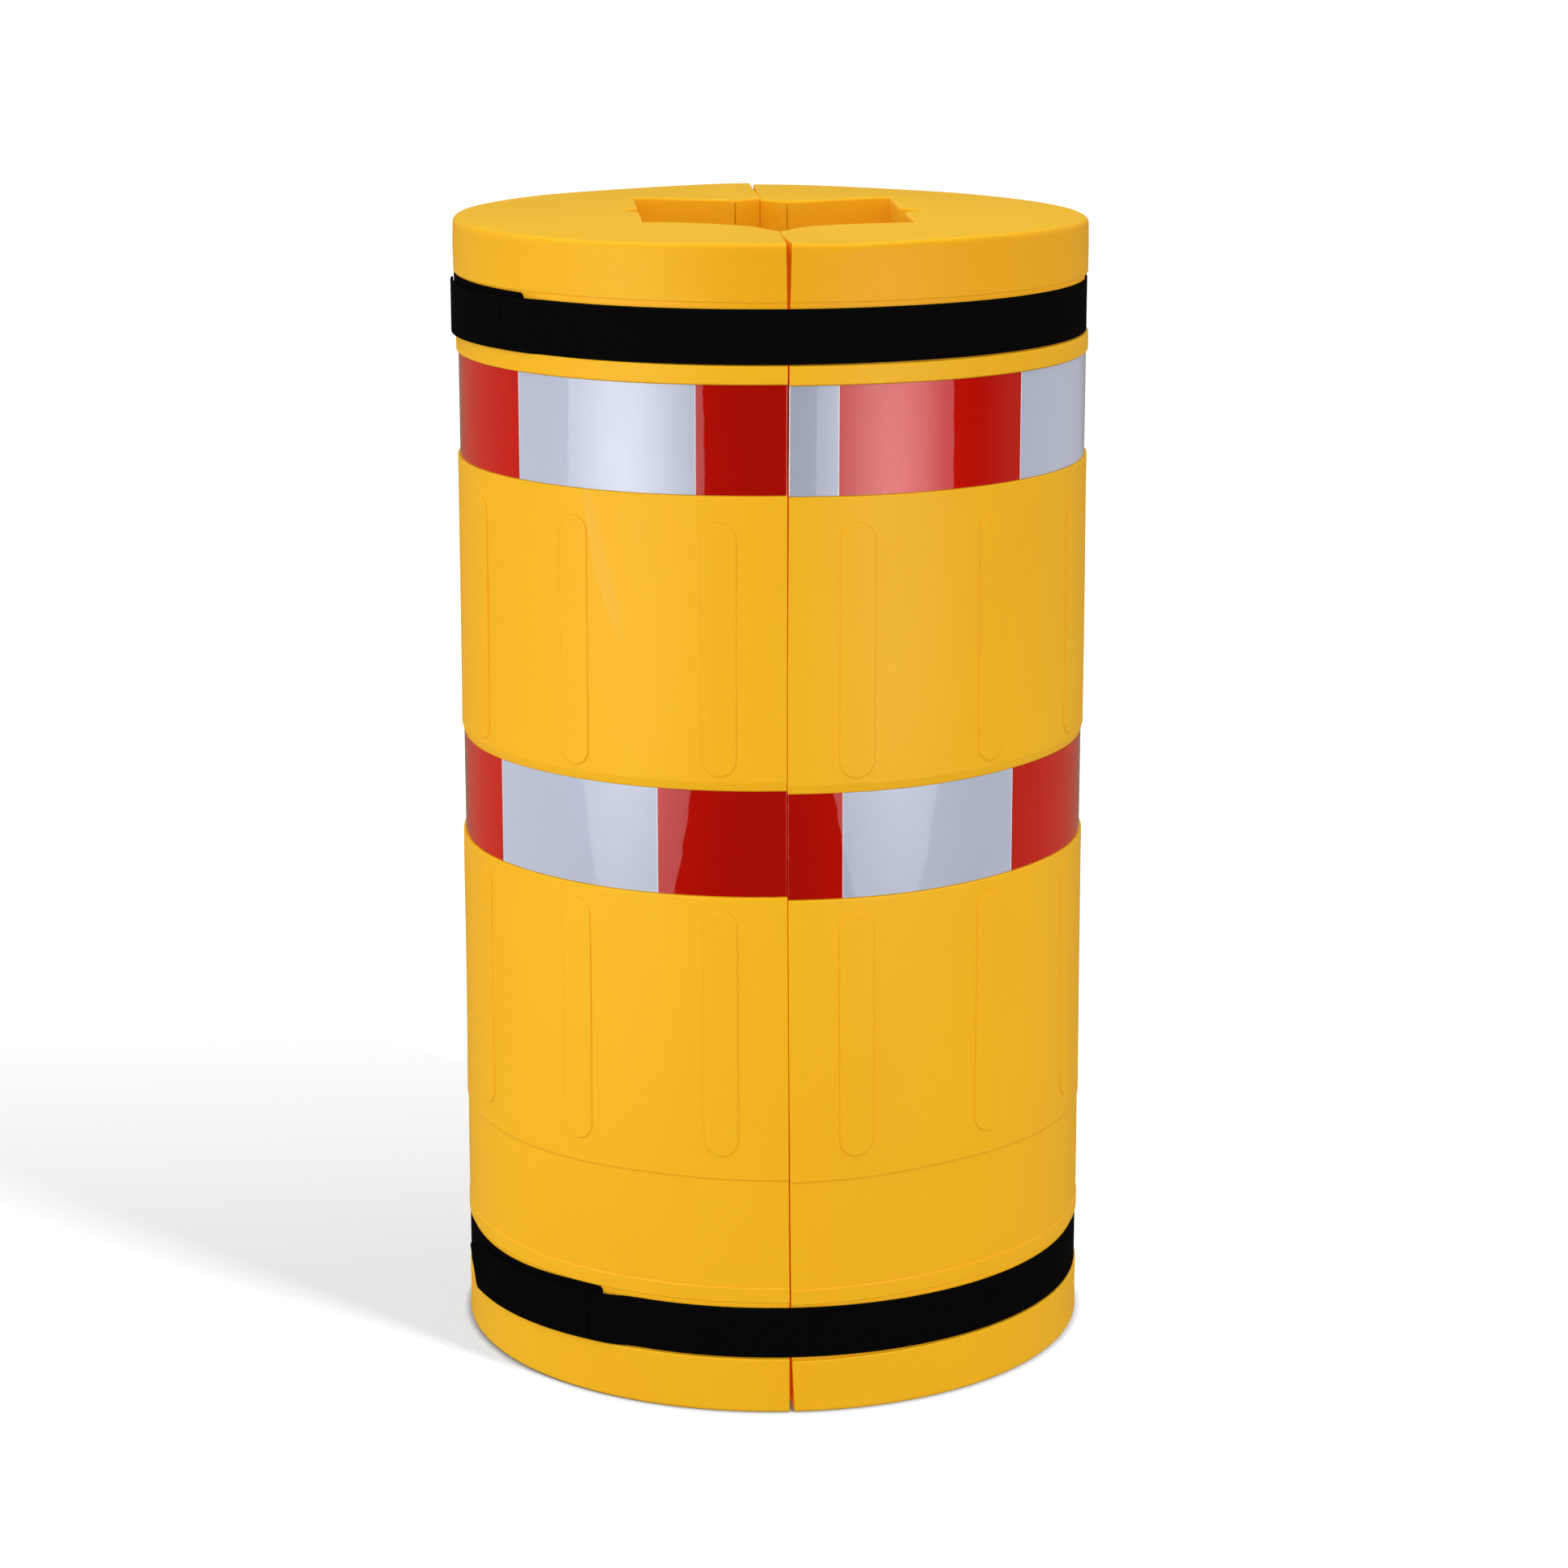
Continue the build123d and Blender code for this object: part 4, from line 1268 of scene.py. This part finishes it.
def warm_light(tree, shell, height):
    """Socket of the light that comes through the plastic in the seam, or goes to and fro in the grooves."""
    near_lid = ramp(tree, height, 0.99, 1.05)
    through = blend_colour(tree, near_lid, rgba(shell.glow), rgba(shell.top_glow))
    glow = vector_maths(tree, "SCALE", {0: through, "Scale": point_value(tree, "glow")})
    shelter = vector_maths(tree, "SCALE", {0: shell.shelter, "Scale": point_value(tree, "shelter")})
    return vector_maths(tree, "ADD", {0: glow, 1: shelter})


def moulded_yellow(shell):
    """Satin moulded plastic: two close yellows, a fine skin grain, faint scratches and one pale rub mark,
    with painted sheen on the lid's top and painted shade in hollows.
    """
    material, tree, shader = fresh_material("moulded_yellow")
    place = add(tree, "ShaderNodeTexCoord").outputs
    across, height, _ = split(tree, place["UV"])
    yellows = (shell.yellow, shell.deep_yellow)
    tone = mottled(tree, place["Object"], *yellows, patch_scale=2.6, grain_scale=900.0)
    scuff = scratched(tree, place["UV"], amount=0.10)
    worn = maths(tree, "ADD", scuff, rub_mark(tree, across, height), clamp=True)
    colour = blend_colour(tree, worn, tone["Color"], rgba(shell.worn_yellow))
    rim = right_rim(tree, place["Object"], across, height)
    colour = blend_colour(tree, rim, colour, rgba(shell.rim_yellow))
    # Painted sheen: faces that turn up take the paler lid colour, for the light that falls on the top
    facing = split(tree, add(tree, "ShaderNodeNewGeometry").outputs["Normal"])
    level = ramp(tree, facing["Z"], 0.5, 0.9)
    colour = blend_colour(tree, level, colour, rgba(shell.lid_yellow))
    # Painted shade and bounce light in hollows: the crease share mixes in the warm darker colour
    hollow = maths(tree, "MULTIPLY", point_value(tree, "crease"), shell.crease_strength)
    look = {
        "Base Color": blend_colour(tree, hollow, colour, rgba(shell.crease)),
        "Emission Color": warm_light(tree, shell, height),
        "Emission Strength": 1.0,
        "Roughness": ramp(tree, tone["Patches"], 0.25, 0.75, start=0.40, finish=0.50),
        "IOR": 1.46,
        "Specular IOR Level": 0.12,
        "Normal": bump(tree, tone["Grain"], strength=0.10, distance=0.0004),
    }
    feed(tree, shader, look)
    return material


def reflective_film(tape, colour_name):
    """Glossy retroreflective film: printed colour over fine beads under a clear face, with painted sheen that
    makes the colour paler at a slant.
    """
    material, tree, shader = fresh_material(f"{colour_name}_film")
    place = add(tree, "ShaderNodeTexCoord").outputs["UV"]
    colour = getattr(tape, colour_name)
    second = tuple(tape.second_tone * value for value in colour)
    tone = mottled(tree, place, colour, second, patch_scale=30.0, grain_scale=420.0)
    scuff = scratched(tree, place, amount=0.05)
    base = blend_colour(tree, scuff, tone["Color"], rgba(tape.rim))
    if colour_name == "white":
        near = ramp(tree, point_value(tree, "rim"), tape.rim_width, 0.4 * tape.rim_width)
        base = blend_colour(tree, near, base, rgba(tape.rim))
    # Painted sheen: the base colour is brightened where the film is seen at a slant
    slant = add(tree, "ShaderNodeLayerWeight", {"Blend": 0.5}).outputs["Facing"]
    slant_sheen = maths(tree, "MULTIPLY_ADD", slant, 1.15, 1.0)
    look = {
        "Base Color": vector_maths(tree, "SCALE", {0: base, "Scale": slant_sheen}),
        "Roughness": ramp(tree, tone["Patches"], 0.3, 0.7, start=0.49, finish=0.51),
        "Metallic": 0.25,
        "Specular IOR Level": 0.0,
        "Coat Weight": 1.0,
        "Coat Roughness": 0.03,
        "Coat IOR": 1.5,
        "Normal": bump(tree, tone["Grain"], strength=0.05, distance=0.0004),
    }
    feed(tree, shader, look)
    return material


def black_weave(name, colour, pitch, relief, shine):
    """Black woven nylon: twill ribs with a little fuzz, dark and dull, with painted sheen that makes the
    ribs' crests paler.
    """
    material, tree, shader = fresh_material(name)
    place = add(tree, "ShaderNodeTexCoord").outputs["UV"]
    weave = use_group(tree, "twill_weave", {"Coordinates": place, "Pitch": pitch})
    # Painted sheen: the twill's crests take a paler black
    crest_sheen_colour = tuple(2.2 * value for value in colour)
    height = maths(tree, "MULTIPLY_ADD", weave["Fuzz"], 0.5, weave["Height"])
    crest_sheen = ramp(tree, height, 0.35, 1.15)
    look = {
        "Base Color": blend_colour(tree, crest_sheen, rgba(colour), rgba(crest_sheen_colour)),
        "Roughness": ramp(tree, weave["Fuzz"], 0.2, 0.8, start=0.72, finish=0.92),
        "Specular IOR Level": shine,
        "Normal": bump(tree, height, strength=relief, distance=0.0003),
    }
    feed(tree, shader, look)
    return material


# Stage


def studio_world(stage):
    """Room light by direction: dim in front, a little paler behind, and the pale floor at the sides."""
    world = bpy.data.worlds.new("studio")
    tree = empty_tree(world)
    _, depth, height = split(tree, add(tree, "ShaderNodeTexCoord").outputs["Generated"])
    diffuse = add(tree, "ShaderNodeLightPath").outputs["Is Diffuse Ray"]
    behind = ramp(tree, depth, -0.25, 0.1)
    above = ramp(tree, height, -0.03, 0.03)
    room = maths(tree, "MULTIPLY_ADD", behind, stage.backdrop_light - stage.room_light, stage.room_light)
    below = maths(tree, "MULTIPLY_ADD", behind, stage.side_light - stage.room_light, stage.room_light)
    step = maths(tree, "MULTIPLY", above, maths(tree, "SUBTRACT", room, below))
    mirrored = maths(tree, "ADD", below, step)
    even = maths(tree, "MULTIPLY_ADD", above, stage.fill_light - stage.bounce_light, stage.bounce_light)
    strength = maths(tree, "MULTIPLY_ADD", diffuse, even, mirrored)
    warmth = maths(tree, "SUBTRACT", behind, diffuse, clamp=True)
    colour = blend_colour(tree, warmth, (1.0, 1.0, 1.0, 1.0), rgba(stage.backdrop_colour))
    glow = add(tree, "ShaderNodeBackground", {"Color": colour, "Strength": strength})
    add(tree, "ShaderNodeOutputWorld", {"Surface": glow.outputs["Background"]})
    bpy.context.scene.world = world


def floor_paper(stage):
    """Pale paper that looks white away from the object and takes its shadow. Its glow is painted shade: kept
    low beside the object so that the shadow there looks deep, rising towards the back so that the shadow
    fades, and darker where it meets the object.
    """
    material = bpy.data.materials.new("pale_floor")
    tree = empty_tree(material)
    # Painted shadow fade: the glow rises from the paleness beside the object to white towards the back
    depth = split(tree, add(tree, "ShaderNodeTexCoord").outputs["Object"])["Y"]
    fade = {"Value": depth, "From Min": stage.fade_start, "From Max": stage.fade_end}
    fade |= {"To Min": stage.floor_glow, "To Max": 1.0}
    paleness = add(tree, "ShaderNodeMapRange", fade).outputs["Result"]
    # Painted contact shade: the glow darkens where the floor meets the object
    painted_contact_shade = add(tree, "ShaderNodeAmbientOcclusion", {"Distance": stage.contact_reach}, samples=8)
    open_sky = maths(tree, "POWER", painted_contact_shade.outputs["AO"], 1.5)
    paleness = maths(tree, "MULTIPLY", paleness, open_sky)
    seen = add(tree, "ShaderNodeLightPath").outputs
    direct = maths(tree, "MAXIMUM", seen["Is Camera Ray"], seen["Is Transmission Ray"])
    glow = add(tree, "ShaderNodeEmission", {"Strength": maths(tree, "MULTIPLY", paleness, direct)})
    shade = add(tree, "ShaderNodeBsdfDiffuse", {"Color": rgba([stage.floor_shade] * 3)})
    both = add(tree, "ShaderNodeAddShader", {0: glow.outputs[0], 1: shade.outputs[0]})
    add(tree, "ShaderNodeOutputMaterial", {"Surface": both.outputs[0]})
    return material


def pale_floor(stage):
    """Large pale disc that takes the object's shadow and stays white away from it."""
    ring = np.concatenate([[0.0], np.geomspace(0.4, stage.floor_radius, 24)])
    angle = np.linspace(0, 2 * pi, 65)
    points = polar(ring[:, None], angle[None, :], 0.0)
    floor = mesh_piece("floor", [lattice(points)], floor_paper(stage))
    floor.visible_glossy = False
    floor.visible_diffuse = False
    return floor


def area_lamp(name, place, target, width, tall, brightness, shape="RECTANGLE"):
    """Lamp at a place that faces a target. Its power is its brightness times pi times its area."""
    lamp = bpy.data.lights.new(name, "AREA")
    lamp.shape = shape
    lamp.size, lamp.size_y = width, tall
    lamp.energy = brightness * pi * width * tall * (pi / 4 if shape == "ELLIPSE" else 1)
    box = new_object(name, lamp)
    box.location = place
    box.rotation_euler = (Vector(target) - Vector(place)).to_track_quat("-Z", "Y").to_euler()
    box.visible_camera = False
    return box


def soft_box(name, shape, brightness):
    """Oval soft box that faces the axis, brighter or dimmer at its middle than at its rim."""
    heading = radians(shape.heading)
    place = (shape.distance * sin(heading), -shape.distance * cos(heading), shape.height)
    target = (0.0, 0.0, shape.height)
    box = area_lamp(name, place, target, shape.width, shape.tall, brightness, "ELLIPSE")
    box.rotation_euler.rotate_axis("Z", radians(shape.lean))
    tree = empty_tree(box.data)
    corner_based = add(tree, "ShaderNodeNewGeometry").outputs["Parametric"]
    centred = vector_maths(tree, "SUBTRACT", {0: corner_based, 1: (0.5, 0.5, 0.0)})
    gradient = ramp(tree, off_axis(tree, centred), 0.0, 0.5, shape.middle, shape.rim)
    glow = add(tree, "ShaderNodeEmission", {"Strength": gradient})
    add(tree, "ShaderNodeOutputLight", {"Surface": glow.outputs[0]})
    return box


def light_floor(lamp, floor, only_floor):
    """Let a lamp light nothing but the floor, or all but the floor, which then doesn't block it either."""
    receivers = bpy.data.collections.new(f"{lamp.name}_receivers")
    receivers.objects.link(floor)
    if not only_floor:
        receivers.collection_objects[0].light_linking.link_state = "EXCLUDE"
        lamp.light_linking.blocker_collection = receivers
    lamp.light_linking.receiver_collection = receivers


def photo_camera(stage):
    """Camera at the photograph's viewing angle."""
    lens = bpy.data.cameras.new("camera")
    lens.sensor_width = 36.0
    lens.lens = lens.sensor_width * stage.focal_pixels / stage.image_size
    lens.clip_end = 2 * stage.floor_radius
    camera = new_object("camera", lens)
    camera.location = stage.camera_place
    camera.rotation_euler = (pi / 2 - stage.camera_pitch, 0.0, -stage.camera_heading)
    bpy.context.scene.camera = camera


# Operators


class GUARD_OT_shared_effects(bpy.types.Operator):
    """Build the shader groups that the finishes share"""

    bl_idname = "guard.shared_effects"
    bl_label = "Shared Effects"

    def execute(self, context):
        make_mottle_group()
        make_scuff_group()
        make_twill_group()
        return {"FINISHED"}


class GUARD_OT_shells(bpy.types.Operator):
    """Build the two half shells, the right one being the left one turned half a turn"""

    bl_idname = "guard.shells"
    bl_label = "Half Shells"

    def execute(self, context):
        shell = context.scene.column_guard.shell
        plastic = moulded_yellow(shell)
        patches = half_shell(shell)
        for side, way in SIDES.items():
            turned = [settled(shell, patch.points * np.array([way, way, 1]), side) for patch in patches]
            dressed = [
                lattice(points, around(points), patch.flip, patch.closed, **patch.attributes)
                for points, patch in zip(turned, patches)
            ]
            piece = mesh_piece(f"{side}_moulding", dressed, plastic)
            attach(piece, f"{side}_half")
            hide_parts(f"{side}_shell")
        return {"FINISHED"}


class GUARD_OT_tape(bpy.types.Operator):
    """Build the red and white blocks of the four tape strips"""

    bl_idname = "guard.tape"
    bl_label = "Reflective Tape"

    def execute(self, context):
        shell, tape = context.scene.column_guard.shell, context.scene.column_guard.tape
        films = {colour: reflective_film(tape, colour) for colour in BLOCK_COLOURS}
        for row, side in product(ROWS, SIDES):
            strip = tape_strip(shell, tape, row, side)
            for colour, blocks in tape_blocks(tape, strip).items():
                patches = [patch for span in blocks for patch in film_block(shell, tape, strip, *span)]
                piece = mesh_piece(f"{row}_{side}_{colour}_film", patches, films[colour])
                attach(piece, f"{side}_half")
                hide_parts(f"{row}_{side}_{colour}_tape")
        return {"FINISHED"}


class GUARD_OT_straps(bpy.types.Operator):
    """Build the webbing of both straps: front stretch, back stretch and free tab"""

    bl_idname = "guard.straps"
    bl_label = "Strap Webbing"

    def execute(self, context):
        strap = context.scene.column_guard.strap
        weave = black_weave("black_webbing", strap.black, strap.twill_pitch, relief=0.55, shine=0.02)
        for row in ROWS:
            layers = strap_layers(strap, row)
            band = (layers["half_width"], strap.thickness / 2, strap.tooth)
            name = f"{row}_strap"
            path, outward = front_path(strap, layers)
            front = mesh_piece(f"{name}_front_webbing", webbing(strap, path, outward, *band), weave)
            path, outward, trim = back_path(strap, layers)
            back = mesh_piece(f"{name}_back_webbing", webbing(strap, path, outward, *band, trim), weave)
            path, outward, trim = tab_path(strap, layers)
            tab = mesh_piece(f"{name}_tab_webbing", webbing(strap, path, outward, *band, trim), weave)
            for piece, depth, arm in ((front, -1, "front"), (back, 1, "back")):
                start = (0.0, depth * layers["hinge"], layers["height"])
                end = (-strap.bend_length, start[1], start[2])
                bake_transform(piece, "right_half", f"{row}_{arm}_arm", start, end)
            finish = path[0] + unit(path[1] - path[0]) * strap.tab_bend
            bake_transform(tab, f"{row}_front_arm", f"{row}_pull_tab", path[0], finish)
            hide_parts(f"{name}_right_run", f"{name}_front_arm")
            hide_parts(f"{name}_back_arm")
            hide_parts(f"{name}_pull_tab")
        return {"FINISHED"}


class GUARD_OT_hook_patches(bpy.types.Operator):
    """Build the hook patches under the outer layers, and their stitches"""

    bl_idname = "guard.hook_patches"
    bl_label = "Hook Patches and Stitches"

    def execute(self, context):
        strap = context.scene.column_guard.strap
        hooks = black_weave("hook_tape", strap.black, 0.6 * strap.twill_pitch, relief=1.0, shine=0.05)
        thread = black_weave("black_thread", strap.thread, 0.4 * strap.twill_pitch, relief=0.4, shine=0.0)
        for row in ROWS:
            layers = strap_layers(strap, row)
            angle = np.linspace(layers["hook_start"], layers["tab"], 180)
            path = askew(polar(layers["hook"] + off_body(layers, angle), angle, over_height(layers, angle)))
            inset = layers["half_width"] - strap.thickness / 2
            patches = webbing(strap, path, polar(1.0, angle, 0.0), inset, strap.hook_thickness / 2, 0.0)
            hook = mesh_piece(f"{row}_strap_hooks", patches, hooks)
            stitches = mesh_piece(f"{row}_strap_stitches", stitch_row(strap, layers), thread)
            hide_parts(f"{row}_strap_hook_patch")
            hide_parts(f"{row}_strap_stitching")
            for piece in (hook, stitches):
                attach(piece, f"{row}_front_arm")
        return {"FINISHED"}


class GUARD_OT_stage(bpy.types.Operator):
    """Set the pale floor, the soft light and the camera"""

    bl_idname = "guard.stage"
    bl_label = "Stage"

    def execute(self, context):
        stage = context.scene.column_guard.stage
        context.scene.view_settings.view_transform = "Standard"
        studio_world(stage)
        floor = pale_floor(stage)
        for side in SIDES:
            mirrored = soft_box(f"{side}_soft_box", MIRRORED_BOX[side], getattr(stage, f"{side}_shine"))
            spread = soft_box(f"{side}_spread_light", SPREAD_BOX[side], getattr(stage, f"{side}_light"))
            mirrored.visible_diffuse = False
            spread.visible_glossy = False
            light_floor(mirrored, floor, only_floor=False)
            light_floor(spread, floor, only_floor=False)
        under_top = (*stage.top_place[:2], HEIGHT)
        size = (stage.top_width, stage.top_length)
        top = area_lamp("top_soft_box", stage.top_place, under_top, *size, stage.top_light)
        light_floor(top, floor, only_floor=False)
        size = (stage.key_size, stage.key_size)
        key = area_lamp("key_lamp", stage.key_place, stage.key_target, *size, stage.key_light)
        light_floor(key, floor, only_floor=True)
        photo_camera(stage)
        return {"FINISHED"}


OPERATORS = (
    GUARD_OT_shared_effects,
    GUARD_OT_shells,
    GUARD_OT_tape,
    GUARD_OT_straps,
    GUARD_OT_hook_patches,
    GUARD_OT_stage,
)


class GUARD_PT_panel(bpy.types.Panel):
    """Lists the operators in the order that they run"""

    bl_idname = "GUARD_PT_panel"
    bl_label = "Column Protector"
    bl_space_type = "VIEW_3D"
    bl_region_type = "UI"
    bl_category = "Column Protector"

    def draw(self, context):
        for operator in OPERATORS:
            self.layout.operator(operator.bl_idname)


CLASSES = (
    ShellSettings,
    TapeSettings,
    StrapSettings,
    StageSettings,
    GuardSettings,
    *OPERATORS,
    GUARD_PT_panel,
)


def register():
    for item in CLASSES:
        bpy.utils.register_class(item)
    bpy.types.Scene.column_guard = PointerProperty(type=GuardSettings)


def unregister():
    del bpy.types.Scene.column_guard
    for item in reversed(CLASSES):
        bpy.utils.unregister_class(item)


def main():
    register()
    bpy.ops.guard.shared_effects()
    bpy.ops.guard.shells()
    bpy.ops.guard.tape()
    bpy.ops.guard.straps()
    bpy.ops.guard.hook_patches()
    bpy.ops.guard.stage()


if __name__ == "__main__":
    main()
